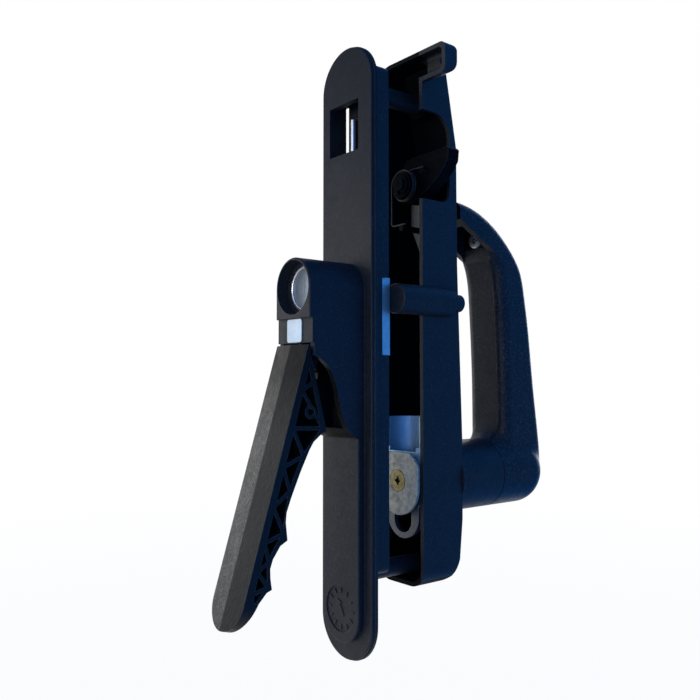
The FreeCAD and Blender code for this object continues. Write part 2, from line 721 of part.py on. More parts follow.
def outer_plate():
    body = fuse([plate_body(), plateau(), housing()])
    ahead = -HOUSING_DEPTH - PAST
    body = body.cut(box(
        -PLATE_WIDTH / 2, PLATE_WIDTH / 2, ahead, -HOUSING_DEPTH + NECK_RECESS, NECK_BOTTOM - PAST, NECK_TOP
    ))
    body = body.cut(housing_cavity())
    body = body.cut(rod_y(0, BARREL_Z, BARREL_HOLE_RADIUS, ahead, BORE_LIP_Y))
    body = body.cut(rod_y(0, BARREL_Z, BARREL_LIP_RADIUS, BORE_LIP_Y - PAST, BARREL_FACE_Y))
    body = body.cut(rod_y(0, BARREL_Z, BARREL_RADIUS + RUNNING_FIT, BARREL_FACE_Y, PAST))
    body = body.cut(box(WINDOW_LEFT, WINDOW_RIGHT, ahead, PAST, WINDOW_BOTTOM, WINDOW_TOP))
    port = box(SLIDER_PORT_FAR, SLIDER_PORT_NEAR, FORK_ROOT_Y, PAST, SLIDER_PORT_BOTTOM, SLIDER_PORT_TOP)
    body = body.cut(port)
    front = -PLATE_THICKNESS - PLATEAU_HEIGHT
    body = body.cut(rod_y(0, DIAL_Z, DIAL_RADIUS, front - PAST, front + DIAL_DEPTH))
    body = body.cut(rod_x(LEVER_PIVOT_Y, LEVER_PIVOT_Z, LEVER_PIN_RADIUS, -PLATE_WIDTH, LEVER_PIN_NEAR))
    additions = dial_marks()
    for side in (-1, 1):
        additions.append(rod_y(side * KEEPER_SCREW_X, keeper_z(), KEEPER_POST_RADIUS, -PAST, keeper_front()))
    guide_low = ROD_GUIDE_Z - ROD_GUIDE_HEIGHT / 2
    guide_high = ROD_GUIDE_Z + ROD_GUIDE_HEIGHT / 2
    additions.append(box(
        ROD_X - ROD_GUIDE_HALF, ROD_X + ROD_GUIDE_HALF, -PAST, ROD_Y + ROD_GUIDE_HALF, guide_low, guide_high
    ))
    body = fuse([body] + additions)
    body = body.cut(rod_z(ROD_X, ROD_Y, ROD_RADIUS + MOVING_GAP / 2, guide_low - PAST, guide_high + PAST))
    for cutter in [spigot_groove()] + pillar_seats():
        body = body.cut(cutter)
    keeper_tip = keeper_front() + KEEPER_THICKNESS - KEEPER_SCREW_LENGTH - MOVING_GAP
    plate_tip = BARREL_PLATE_THICKNESS - BARREL_SCREW_LENGTH - MOVING_GAP
    for side in (-1, 1):
        x = side * KEEPER_SCREW_X
        body = body.cut(rod_y(x, keeper_z(), SMALL_SCREW_RADIUS, keeper_tip, keeper_front() + PAST))
        z = BARREL_Z + side * BARREL_SCREW_OFFSET
        body = body.cut(rod_y(0, z, SMALL_SCREW_RADIUS, plate_tip, PAST))
    return body


def keeper_z():
    return (KEEPER_TOP + KEEPER_BOTTOM) / 2


def keeper_front():
    return SLIDER_FRONT_Y + SLIDER_SHEET + MOVING_GAP


# Lever
def lever_y(depth):
    return LEVER_PIVOT_Y - LEVER_PIVOT_DEPTH + depth


def lever_z(along):
    return LEVER_PIVOT_Z + LEVER_PIVOT_DROP - along


def lever_point(along, depth):
    return (lever_y(depth), lever_z(along))


def rear_depth(along):
    for (s0, d0), (s1, d1) in zip(LEVER_REAR, LEVER_REAR[1:]):
        if s0 <= along <= s1:
            return d0 + (d1 - d0) * (along - s0) / (s1 - s0)
    return LEVER_REAR[-1][1]


def lever_outline():
    points = [(0.0, 0.0), (0.0, LEVER_REAR[0][1])] + LEVER_REAR
    points += [(LEVER_LENGTH, LEVER_TIP_DEPTH), (LEVER_LENGTH, 0.0)]
    return [lever_point(s, d) for s, d in points]


def truss_pockets():
    cutters = []
    nodes = []
    for i, s in enumerate(LEVER_STATIONS):
        on_skin = i % 2 == 0
        nodes.append((s, LEVER_SKIN if on_skin else rear_depth(s) - LEVER_FLANGE))
    for i in range(len(nodes) - 2):
        corners = [lever_point(s, d) for s, d in nodes[i:i + 3]]
        a, b, c = [V(0, y, z) for y, z in corners]
        face = Part.Face(Part.makePolygon([a, b, c, a]))
        inner = face.makeOffset2D(-LEVER_RIB / 2)
        cutters.append(Part.Face(inner.Wires[0]))
    return cutters


def outer_lever():
    block = prism_x(lever_outline(), -LEVER_HALF, LEVER_HALF)
    front = lever_y(0)
    top = lever_z(0)
    roof = prism_ridge(front, top, lever_z(LEVER_LENGTH))
    body = fuse([block, roof])
    ahead = front - LEVER_RIDGE - PAST
    end = pill(LEVER_HALF, lever_z(LEVER_LENGTH - LEVER_HALF), top + LEVER_HALF, ahead, PAST)
    body = body.common(end)
    for face in truss_pockets():
        near = face.extrude(V(LEVER_HALF, 0, 0))
        near.translate(V(LEVER_WEB / 2, 0, 0))
        far = face.extrude(V(-LEVER_HALF, 0, 0))
        far.translate(V(-LEVER_WEB / 2, 0, 0))
        body = body.cut(near).cut(far)
    boss_y, boss_z = lever_point(LEVER_BOSS_ALONG, LEVER_BOSS_DEPTH)
    reach = LEVER_HALF - LEVER_BOSS_INSET
    pivot = (LEVER_PIVOT_Y, LEVER_PIVOT_Z)
    foot = lever_point(ARM_FOOT_ALONG, ARM_FOOT_DEPTH)
    tip = (LEVER_PIVOT_Y + TONGUE_REACH, LEVER_PIVOT_Z - TONGUE_DROP)
    additions = [rod_x(boss_y, boss_z, LEVER_BOSS_RADIUS, -reach, reach)]
    for x0, x1 in ((KNUCKLE_FAR, KNUCKLE_NEAR), (EAR_FAR, EAR_NEAR)):
        additions.append(rod_x(pivot[0], pivot[1], KNUCKLE_RADIUS, x0, x1))
        additions.append(stadium_x(pivot, foot, ARM_RADIUS, x0, x1))
    tongue = (TONGUE_X - TONGUE_HALF, TONGUE_X + TONGUE_HALF)
    additions.append(stadium_x(pivot, tip, TONGUE_ARM_RADIUS, tongue[0], tongue[1]))
    additions.append(rod_x(tip[0], tip[1], TONGUE_TIP_RADIUS, tongue[0], tongue[1]))
    body = fuse([body] + additions)
    for side in (-1, 1):
        x0, x1 = sorted((side * (reach + PAST), side * LEVER_BOSS_HOLE_END))
        body = body.cut(rod_x(boss_y, boss_z, LEVER_BOSS_HOLE, x0, x1))
    hole = LEVER_PIN_RADIUS + RUNNING_FIT
    body = body.cut(rod_x(pivot[0], pivot[1], hole, -PLATE_WIDTH, PLATE_WIDTH))
    return lever_at_rest(body)


def prism_ridge(front, top, bottom):
    corners = [V(-LEVER_HALF, front, top), V(0, front - LEVER_RIDGE, top), V(LEVER_HALF, front, top)]
    face = Part.Face(Part.makePolygon(corners + corners[:1]))
    return face.extrude(V(0, 0, bottom - top))


def lever_at_rest(shape):
    shape.rotate(V(0, LEVER_PIVOT_Y, LEVER_PIVOT_Z), AXIS_X, -LEVER_ANGLE)
    return shape


def lever_pin():
    return rod_x(LEVER_PIVOT_Y, LEVER_PIVOT_Z, LEVER_PIN_RADIUS, LEVER_PIN_FAR, LEVER_PIN_NEAR)


def lever_spring():
    def place(quarter):
        angle = math.pi * (1 + quarter / 2)
        return V(
            LEVER_COIL_START_X + LEVER_COIL_PITCH * quarter / 4,
            LEVER_PIVOT_Y + LEVER_COIL_RADIUS * math.cos(angle),
            LEVER_PIVOT_Z + LEVER_COIL_RADIUS * math.sin(angle),
        )
    stations = coil_points(place, LEVER_COIL_QUARTERS)
    stations[0] = (stations[0][0], V(0, 0, -1))
    stations[-1] = (stations[-1][0], V(0, 0, -1))
    first = stations[0][0]
    last = stations[-1][0]
    edges = [Part.makeLine(V(first.x, first.y, LEVER_LEG_TOP), first)]
    edges += coil_edges(stations)
    edges.append(Part.makeLine(last, V(last.x, last.y, LEVER_LEG_BOTTOM)))
    gap = least_gap(edges, LEVER_WIRE, math.pi * LEVER_COIL_RADIUS)
    print("lever_spring least gap to itself", round(gap, 2), "mm")
    return tube(edges, LEVER_WIRE)


# Lock barrel
def barrel_body():
    body = rod_y(0, BARREL_Z, BARREL_RADIUS, BARREL_FACE_Y, 0)
    ahead = BARREL_FACE_Y - PAST
    groove = rod_y(0, BARREL_Z, RING_OUTER, ahead, BARREL_FACE_Y + RING_SEAT)
    groove = groove.cut(rod_y(0, BARREL_Z, RING_INNER, ahead - PAST, 0))
    body = body.cut(groove)
    head = rod_y(0, BARREL_Z, PLUG_HEAD_RADIUS + RUNNING_FIT, ahead, BARREL_FACE_Y + PLUG_HEAD_DEPTH)
    body = body.cut(head)
    return body.cut(rod_y(0, BARREL_Z, PLUG_RADIUS + RUNNING_FIT, BARREL_FACE_Y, PAST))


def barrel_ring():
    back = BARREL_FACE_Y + RING_SEAT
    ring = rod_y(0, BARREL_Z, RING_OUTER, back - RING_HEIGHT, back)
    ring = ring.cut(rod_y(0, BARREL_Z, RING_INNER, back - RING_HEIGHT - PAST, back + PAST))
    rim = edges_where(ring, lambda b: flat_in_y(b, back - RING_HEIGHT))
    return ring.makeFillet(RING_EDGE_RADIUS, rim)


def barrel_plug():
    head = rod_y(0, BARREL_Z, PLUG_HEAD_RADIUS, BARREL_FACE_Y, BARREL_FACE_Y + PLUG_HEAD_DEPTH)
    shank = rod_y(0, BARREL_Z, PLUG_RADIUS, BARREL_FACE_Y, CAM_FRONT_Y)
    half = PLUG_SQUARE / 2
    square = box(-half, half, 0, CAM_FRONT_Y + CAM_THICKNESS, BARREL_Z - half, BARREL_Z + half)
    plug = fuse([head, shank, square])
    keyway = box(
        -KEYWAY_WIDTH / 2, KEYWAY_WIDTH / 2, BARREL_FACE_Y - PAST, BARREL_FACE_Y + KEYWAY_DEPTH,
        BARREL_Z - KEYWAY_HEIGHT / 2, BARREL_Z + KEYWAY_HEIGHT / 2,
    )
    back = CAM_FRONT_Y + CAM_THICKNESS
    screw_hole = rod_y(0, BARREL_Z, CAM_SCREW_RADIUS, back - CAM_SCREW_LENGTH - MOVING_GAP, back + PAST)
    return plug.cut(keyway).cut(screw_hole)


def key_shutter():
    # flap that closes the mouth of the keyway just under the plug's face
    front = BARREL_FACE_Y + SHUTTER_SINK
    half = KEYWAY_HEIGHT / 2
    return box(
        -KEYWAY_WIDTH / 2, KEYWAY_WIDTH / 2, front, front + SHUTTER_THICKNESS,
        BARREL_Z - half, BARREL_Z + half,
    )


def barrel_plate():
    back = BARREL_PLATE_THICKNESS
    plate = rounded_slab(
        -BARREL_PLATE_HALF, BARREL_PLATE_HALF, BARREL_Z - BARREL_PLATE_REACH, BARREL_Z + BARREL_PLATE_REACH,
        BARREL_PLATE_CORNER, 0, back,
    )
    plate = plate.cut(rod_y(0, BARREL_Z, PLUG_RADIUS + MOVING_GAP, -PAST, back + PAST))
    for side in (-1, 1):
        z = BARREL_Z + side * BARREL_SCREW_OFFSET
        plate = plate.cut(rod_y(0, z, SMALL_SCREW_RADIUS + SEAT_GAP, -PAST, back + PAST))
    return plate


def head_slot(x, z, face_y, outward, reach):
    # a screwdriver slot in a head whose face looks along outward times Y
    y0, y1 = sorted((face_y - outward * SLOT_DEPTH, face_y + outward * PAST))
    return box(x - SLOT_WIDTH / 2, x + SLOT_WIDTH / 2, y0, y1, z - reach, z + reach)


def small_screw(x, z, seat_y, length):
    shank = rod_y(x, z, SMALL_SCREW_RADIUS, seat_y - length, seat_y)
    face = seat_y + SMALL_HEAD_HEIGHT
    head = rod_y(x, z, SMALL_HEAD_RADIUS, seat_y, face)
    return fuse([shank, head]).cut(head_slot(x, z, face, 1, SMALL_HEAD_RADIUS + PAST))


def barrel_plate_screws():
    places = [BARREL_Z - BARREL_SCREW_OFFSET, BARREL_Z + BARREL_SCREW_OFFSET]
    return group([small_screw(0, z, BARREL_PLATE_THICKNESS, BARREL_SCREW_LENGTH) for z in places])


def barrel_cam():
    back = CAM_FRONT_Y + CAM_THICKNESS
    disc = rod_y(0, BARREL_Z, CAM_DISC_RADIUS, CAM_FRONT_Y, back)
    finger = box(-CAM_LENGTH, 0, CAM_FRONT_Y, back, BARREL_Z - CAM_HALF, BARREL_Z + CAM_HALF)
    half = PLUG_SQUARE / 2
    socket = box(-half, half, CAM_FRONT_Y - PAST, back + PAST, BARREL_Z - half, BARREL_Z + half)
    tips = edges_where(finger, lambda b: b.XMax < PAST - CAM_LENGTH and b.YLength > PAST)
    return fuse([disc, finger.makeFillet(CAM_TIP_RADIUS, tips)]).cut(socket)


def barrel_cam_screw():
    seat = CAM_FRONT_Y + CAM_THICKNESS
    face = seat + CAM_SCREW_HEAD_HEIGHT
    shank = rod_y(0, BARREL_Z, CAM_SCREW_RADIUS, seat - CAM_SCREW_LENGTH, seat)
    head = rod_y(0, BARREL_Z, CAM_SCREW_HEAD, seat, face)
    return fuse([shank, head]).cut(head_slot(0, BARREL_Z, face, 1, CAM_SCREW_HEAD + PAST))


def blank_label():
    seat = -HOUSING_DEPTH + NECK_RECESS
    return rounded_slab(
        LABEL_X - LABEL_HALF, LABEL_X + LABEL_HALF, LABEL_BOTTOM, LABEL_TOP, LABEL_CORNER,
        seat - LABEL_THICKNESS, seat,
    )


# Outer slider
def slider_rest_z():
    angle = math.radians(LEVER_ANGLE)
    return LEVER_PIVOT_Z - TONGUE_REACH * math.sin(angle) - TONGUE_DROP * math.cos(angle)


def outer_slider():
    back = SLIDER_FRONT_Y + SLIDER_SHEET
    parts = [box(-SLIDER_WAIST, SLIDER_WAIST, SLIDER_FRONT_Y, back, SLIDER_WEB_BOTTOM, SLIDER_WEB_TOP)]
    parts.append(box(-SLIDER_HALF, SLIDER_HALF, SLIDER_FRONT_Y, back, NOTCH_BOTTOM, SLIDER_WEB_TOP))
    for x0, x1 in ((-SLIDER_HALF, -SLIDER_HALF + SLIDER_SHEET), (SLIDER_HALF - SLIDER_SHEET, SLIDER_HALF)):
        parts.append(box(x0, x1, SLIDER_FRONT_Y, SLIDER_BACK_Y, NOTCH_BOTTOM, NOTCH_TOP))
    centre = slider_rest_z()
    gap = TONGUE_TIP_RADIUS + MOVING_GAP
    x0 = TONGUE_X - FORK_HALF
    x1 = TONGUE_X + FORK_HALF
    block = box(x0, x1, FORK_FRONT_Y, back, centre - gap - FORK_PRONG, centre + gap + FORK_PRONG)
    mouth = box(x0 - PAST, x1 + PAST, FORK_FRONT_Y - PAST, FORK_ROOT_Y, centre - gap, centre + gap)
    parts.append(block.cut(mouth))
    return fuse(parts)


def slider_rod():
    return rod_z(ROD_X, ROD_Y, ROD_RADIUS, ROD_BOTTOM, ROD_TOP)


def slider_keeper():
    front = keeper_front()
    back = front + KEEPER_THICKNESS
    plate = box(-KEEPER_HALF, KEEPER_HALF, front, back, KEEPER_BOTTOM, KEEPER_TOP)
    for side in (-1, 1):
        x = side * KEEPER_SCREW_X
        plate = plate.cut(rod_y(x, keeper_z(), SMALL_SCREW_RADIUS + SEAT_GAP, front - PAST, back + PAST))
    return plate


def keeper_screws():
    seat = keeper_front() + KEEPER_THICKNESS
    places = [-KEEPER_SCREW_X, KEEPER_SCREW_X]
    return group([small_screw(x, keeper_z(), seat, KEEPER_SCREW_LENGTH) for x in places])


# Inner case
def case_profile(inset):
    front = CASE_RIM_Y - 3 * PAST
    points = [(front, CASE_TOP + PAST), (CASE_BACK[0][0] - inset, CASE_TOP + PAST)]
    points += [(y - inset, z) for y, z in CASE_BACK]
    points += [(CASE_BACK[-1][0] - inset, CASE_BOTTOM - PAST), (front, CASE_BOTTOM - PAST)]
    return prism_x(points, -CASE_HALF - PAST, CASE_HALF + PAST)


def lug(wall, rim_y):
    back = CASE_RIM_Y + LUG_DEPTH - wall
    reach = LUG_REACH - wall
    low = LUG_BOTTOM + wall
    high = CASE_TOP - wall
    block = box(0, reach, rim_y, back, low, high)
    for z, radius in ((low, LUG_LOW_RADIUS - wall), (high, LUG_HIGH_RADIUS - wall)):
        rim = edges_where(block, lambda b: flat_in_y(b, back) and b.XLength > reach / 2)
        block = block.makeFillet(radius, [e for e in rim if abs(e.BoundBox.ZMin - z) < SAME])
    return block.common(rounded_slab(0, reach, low, high, LUG_CORNER - wall / 2, rim_y, back))


def case_shell(wall, floor, rim_y):
    upright = rounded_slab(
        -CASE_HALF + wall, CASE_HALF - wall, CASE_BOTTOM + wall, CASE_TOP - wall,
        CASE_CORNER - wall, rim_y, BEYOND,
    )
    return upright.common(case_profile(floor)).fuse(lug(wall, rim_y)).removeSplitter()


def latch_notch():
    back = NOTCH_ARCH_BACK
    r = NOTCH_ARCH_RADIUS
    f = NOTCH_FOOT_RADIUS
    ahead = CASE_RIM_Y - PAST
    top = NOTCH_ARCH_TOP
    low = NOTCH_ARCH_BOTTOM
    bend = math.sqrt(0.5)
    high_middle = V(0, back - r + r * bend, top - r + r * bend)
    low_middle = V(0, back - f + f * bend, low + f - f * bend)
    edges = [
        Part.makeLine(V(0, ahead, low), V(0, ahead, top)),
        Part.makeLine(V(0, ahead, top), V(0, back - r, top)),
        Part.Arc(V(0, back - r, top), high_middle, V(0, back, top - r)).toShape(),
        Part.makeLine(V(0, back, top - r), V(0, back, low + f)),
        Part.Arc(V(0, back, low + f), low_middle, V(0, back - f, low)).toShape(),
        Part.makeLine(V(0, back - f, low), V(0, ahead, low)),
    ]
    cutter = Part.Face(Part.Wire(edges)).extrude(V(CASE_WALL + 3 * PAST, 0, 0))
    cutter.translate(V(CASE_HALF - CASE_WALL - 2 * PAST, 0, 0))
    return cutter


def through_seats():
    return ((SCREW_UPPER_Z, UPPER_SEAT_Y), (SCREW_LOWER_Z, LOWER_SEAT_Y))


def slide_ledges():
    front = SLIDE_FRONT_Y + SLIDE_THICKNESS + SEAT_GAP
    back = front + SLIDE_LEDGE_DEPTH
    ledges = []
    for side in (-1, 1):
        x0, x1 = sorted((side * SLIDE_LEDGE_INNER, side * (CASE_HALF - CASE_WALL / 2)))
        ledges.append(box(x0, x1, front, back, SLIDE_LEDGE_BOTTOM, SLIDE_LEDGE_TOP))
    return ledges


def post_blank():
    body = rod_y(CASE_HALF, POST_Z, POST_RADIUS, POST_FRONT_Y, POST_BACK_Y)
    rim = edges_where(body, lambda b: flat_in_y(b, POST_FRONT_Y))
    tail = rod_y(CASE_HALF, POST_Z, POST_TAIL_RADIUS, POST_BACK_Y - PAST, POST_TAIL_BACK_Y)
    return fuse([body.makeFillet(POST_EDGE_RADIUS, rim), tail])


def side_post():
    return post_blank().cut(rod_y(CASE_HALF, POST_Z, POST_SCREW_RADIUS, POST_SCREW_TIP_Y - PAST, BEYOND))


def screw_sleeves():
    sleeves = []
    for z, seat in through_seats():
        sleeve = rod_y(0, z, PILLAR_RADIUS, PILLAR_MEET_Y, seat - SEAT_CUP_DEPTH + SLEEVE_SINK)
        sleeves.append(sleeve.cut(rod_y(0, z, THROUGH_RADIUS + SEAT_GAP, 0, BEYOND)))
    return group(sleeves)


def inner_case():
    body = case_shell(0, 0, CASE_RIM_Y).cut(case_shell(CASE_WALL, CASE_FLOOR, CASE_RIM_Y - PAST))
    additions = slide_ledges()
    for z, seat in through_seats():
        cup = rod_y(0, z, SEAT_CUP_RADIUS, seat - SEAT_CUP_DEPTH, seat + 2 * SEAT_CUP_DEPTH)
        additions.append(cup.common(case_shell(0, 0, CASE_RIM_Y)))
    peg_z = HOOK_LEG_Z - HOOK_WIRE - SEAT_GAP - PEG_RADIUS
    additions.append(rod_y(PEG_X, peg_z, PEG_RADIUS, HOOK_COIL_FRONT_Y - PEG_PROUD, CASE_INNER_BACK))
    collar = HOOK_PIN_RADIUS + HOOK_PIN_COLLAR
    additions.append(rod_y(0, HOOK_Z, collar, HOOK_BACK_Y + 2 * SEAT_GAP, CASE_INNER_BACK))
    body = fuse([body] + additions)
    body = body.cut(latch_notch())
    for z, seat in through_seats():
        body = body.cut(rod_y(0, z, PILLAR_RADIUS + SEAT_GAP, 0, seat - SEAT_CUP_DEPTH + SLEEVE_SINK))
        body = body.cut(rod_y(0, z, THROUGH_RADIUS + SEAT_GAP, 0, BEYOND))
        body = body.cut(rod_y(0, z, THROUGH_HEAD_RADIUS + MOVING_GAP, seat, BEYOND))
    body = body.cut(rod_y(0, HOOK_Z, HOOK_PIN_RADIUS, HOOK_BACK_Y, HOOK_PIN_BACK_Y))
    body = body.cut(rod_y(0, HUB_Z, BUSH_RADIUS, CASE_RIM_Y, BEYOND))
    body = body.cut(rod_y(LUG_HOLE_X, LUG_HOLE_Z, LUG_HOLE_RADIUS, CASE_RIM_Y, BEYOND))
    body = body.cut(post_blank())
    body = body.cut(rod_y(CASE_HALF, POST_Z, POST_HEAD_RADIUS, POST_TAIL_BACK_Y, BEYOND))
    for x, z in hub_screw_places():
        body = body.cut(rod_y(x, z, HUB_SCREW_RADIUS + SEAT_GAP, CASE_RIM_Y, BEYOND))
    return body


def post_screw():
    shank = rod_y(CASE_HALF, POST_Z, POST_SCREW_RADIUS, POST_SCREW_TIP_Y, POST_TAIL_BACK_Y)
    head = rod_y(CASE_HALF, POST_Z, POST_HEAD_RADIUS, POST_TAIL_BACK_Y, POST_HEAD_BACK_Y)
    rim = edges_where(head, lambda b: flat_in_y(b, POST_HEAD_BACK_Y))
    return fuse([shank, head.makeFillet(POST_HEAD_EDGE_RADIUS, rim)])


def through_screws():
    screws = []
    for z, seat in through_seats():
        face = seat + THROUGH_HEAD_HEIGHT
        shank = rod_y(0, z, THROUGH_RADIUS, THROUGH_TIP_Y, seat)
        head = rod_y(0, z, THROUGH_HEAD_RADIUS, seat, face)
        rim = edges_where(head, lambda b: flat_in_y(b, face))
        screw = fuse([shank, head.makeFillet(THROUGH_HEAD_EDGE, rim)])
        screws.append(screw.cut(cross_recess(0, z, face, 1)))
    return group(screws)


def cross_recess(x, z, face_y, outward):
    # a worn cross: two bars and a round middle, in a head whose face looks along outward times Y
    y0, y1 = sorted((face_y - outward * CROSS_DEPTH, face_y + outward * PAST))
    across = box(x - CROSS_REACH, x + CROSS_REACH, y0, y1, z - CROSS_HALF, z + CROSS_HALF)
    upright = box(x - CROSS_HALF, x + CROSS_HALF, y0, y1, z - CROSS_REACH, z + CROSS_REACH)
    return fuse([across, upright, rod_y(x, z, CROSS_HOLE_RADIUS, y0, y1)])


def thread_inserts():
    inserts = []
    for z in (SCREW_UPPER_Z, SCREW_LOWER_Z):
        sleeve = rod_y(0, z, INSERT_RADIUS, PILLAR_MEET_Y - INSERT_LENGTH, PILLAR_MEET_Y)
        inserts.append(sleeve.cut(rod_y(0, z, THROUGH_RADIUS, 0, PILLAR_MEET_Y + PAST)))
    return group(inserts)


# Hook latch
def drive_pin_place():
    angle = math.radians(180 - HOOK_TURN / 2)
    return (HOOK_ARM * math.cos(angle), HOOK_Z + HOOK_ARM * math.sin(angle))


def latch_hook():
    outline = [(0.0, HOOK_TOP)] + HOOK_NOSE + [(0.0, HOOK_Z - HOOK_HUB_RADIUS)]
    blade = prism_y(outline, HOOK_FRONT_Y, HOOK_BACK_Y)
    hub = rod_y(0, HOOK_Z, HOOK_HUB_RADIUS, HOOK_FRONT_Y, HOOK_BACK_Y)
    boss = rod_y(0, HOOK_Z, HOOK_BOSS_RADIUS, HOOK_BOSS_FRONT_Y, HOOK_BACK_Y)
    x, z = drive_pin_place()
    tail = rod_y(x, z, TAIL_RADIUS, HOOK_FRONT_Y, HOOK_BACK_Y)
    corners = [(0, HOOK_TOP), (x, z + TAIL_RADIUS), (x, z - TAIL_RADIUS), (0, HOOK_Z)]
    shoulder = prism_y(corners, HOOK_FRONT_Y, HOOK_BACK_Y)
    stud = rod_y(STUD_X, stud_z(), STUD_RADIUS, HOOK_FRONT_Y - STUD_HEIGHT, HOOK_FRONT_Y + PAST)
    body = fuse([blade, hub, boss, tail, shoulder, stud])
    body = body.cut(rod_y(0, HOOK_Z, HOOK_PIN_RADIUS + RUNNING_FIT, 0, BEYOND))
    return body.cut(rod_y(x, z, DRIVE_PIN_RADIUS, DRIVE_PIN_FRONT_Y, BEYOND))


def stud_z():
    return HOOK_Z + HOOK_COIL_RADIUS - HOOK_WIRE - SEAT_GAP - STUD_RADIUS


def clip_back():
    return HOOK_BOSS_FRONT_Y - SEAT_GAP


def hook_pin():
    pin = rod_y(0, HOOK_Z, HOOK_PIN_RADIUS, HOOK_BOSS_FRONT_Y - HOOK_PIN_PROUD, HOOK_PIN_BACK_Y)
    groove = rod_y(0, HOOK_Z, HOOK_CLIP_RADIUS, clip_back() - HOOK_CLIP_THICKNESS, clip_back())
    return pin.cut(groove.cut(rod_y(0, HOOK_Z, HOOK_PIN_RADIUS - HOOK_PIN_GROOVE, 0, BEYOND)))


def hook_clip():
    back = clip_back()
    front = back - HOOK_CLIP_THICKNESS
    ring = rod_y(0, HOOK_Z, HOOK_CLIP_RADIUS, front, back)
    ring = ring.cut(rod_y(0, HOOK_Z, HOOK_PIN_RADIUS - HOOK_PIN_GROOVE, front - PAST, back + PAST))
    low = HOOK_Z - HOOK_CLIP_RADIUS - PAST
    return ring.cut(box(-HOOK_CLIP_MOUTH, HOOK_CLIP_MOUTH, front - PAST, back + PAST, low, HOOK_Z))


def hook_drive_pin():
    x, z = drive_pin_place()
    return rod_y(x, z, DRIVE_PIN_RADIUS, DRIVE_PIN_FRONT_Y, DRIVE_PIN_BACK_Y)


def hook_spring():
    rise = (HOOK_COIL_BACK_Y - HOOK_COIL_FRONT_Y) / HOOK_COIL_QUARTERS

    def place(quarter):
        angle = math.pi * (1 - quarter / 2)
        return V(
            HOOK_COIL_RADIUS * math.cos(angle), HOOK_COIL_FRONT_Y + rise * quarter,
            HOOK_Z + HOOK_COIL_RADIUS * math.sin(angle),
        )
    stations = coil_points(place, HOOK_COIL_QUARTERS)
    stations[0] = (stations[0][0], V(0, 0, 1))
    stations[-1] = (stations[-1][0], V(1, 0, 0))
    first = stations[0][0]
    last = stations[-1][0]
    y = HOOK_COIL_FRONT_Y
    bend = HOOK_LEG_BEND
    slack = bend * (1 - math.sqrt(0.5))
    corner_start = V(first.x + bend, y, HOOK_LEG_Z)
    corner_middle = V(first.x + slack, y, HOOK_LEG_Z + slack)
    corner_end = V(first.x, y, HOOK_LEG_Z + bend)
    edges = [Part.makeLine(V(HOOK_LEG_END_X, y, HOOK_LEG_Z), corner_start)]
    edges.append(Part.Arc(corner_start, corner_middle, corner_end).toShape())
    edges.append(Part.makeLine(corner_end, first))
    edges += coil_edges(stations)
    edges.append(Part.makeLine(last, V(HOOK_LEG_TIP_X, last.y, last.z)))
    gap = least_gap(edges, HOOK_WIRE, math.pi * HOOK_COIL_RADIUS)
    print("hook_spring least gap to itself", round(gap, 2), "mm")
    return tube(edges, HOOK_WIRE)


# Drive slide and cam
def crank_place():
    angle = math.radians(180 - CRANK_ANGLE)
    return (CRANK_RADIUS * math.cos(angle), HUB_Z + CRANK_RADIUS * math.sin(angle))


def trough():
    # half pipe that stands on the slide above the spindle, with the rivet's hole in its back
    back = SLIDE_FRONT_Y + SLIDE_THICKNESS
    hole = rod_y(0, RIVET_Z, RIVET_RADIUS, TROUGH_BACK_Y - 2 * TROUGH_SHEET, TROUGH_BACK_Y + PAST)
    outer = rod_z(0, back, TROUGH_RADIUS + TROUGH_SHEET / 2, TROUGH_LOW, TROUGH_TOP)
    inner = rod_z(0, back, TROUGH_RADIUS - TROUGH_SHEET / 2, TROUGH_LOW - PAST, TROUGH_TOP + PAST)
    ahead = box(-CASE_HALF, CASE_HALF, 0, SLIDE_FRONT_Y, TROUGH_LOW - PAST, TROUGH_TOP + PAST)
    return outer.cut(inner).cut(ahead).cut(hole)


def slide_notch():
    # what is cut away between the trough's sides, down to the strip over the slot
    front = SLIDE_FRONT_Y - PAST
    back = SLIDE_FRONT_Y + SLIDE_THICKNESS + PAST
    return box(-SLIDE_NOTCH_HALF, SLIDE_NOTCH_HALF, front, back, SLIDE_NOTCH_LOW, SLIDE_TOP + PAST)


def drive_slide():
    front = SLIDE_FRONT_Y
    back = SLIDE_FRONT_Y + SLIDE_THICKNESS
    wide = box(-SLIDE_HALF, SLIDE_HALF, front, back, SLIDE_SHOULDER_Z, SLIDE_TOP)
    loop = pill(SLIDE_LOOP_HALF, SLIDE_LOOP_BOTTOM + SLIDE_LOOP_HALF, SLIDE_SHOULDER_Z, front, back)
    slot = pill(
        SLIDE_SLOT_HALF, SLIDE_SLOT_BOTTOM + SLIDE_SLOT_HALF, SLIDE_SLOT_TOP - SLIDE_SLOT_HALF,
        front - PAST, back + PAST,
    )
    body = fuse([wide.cut(slide_notch()), loop, trough()]).cut(slot)
    pin_z = crank_place()[1]
    reach = CRANK_PIN_RADIUS + PIN_SLOT_PLAY
    side_slot = box(
        -SLIDE_HALF - PAST, CRANK_SLOT_INNER, front - PAST, back + PAST, pin_z - reach, pin_z + reach
    )
    return body.cut(side_slot)


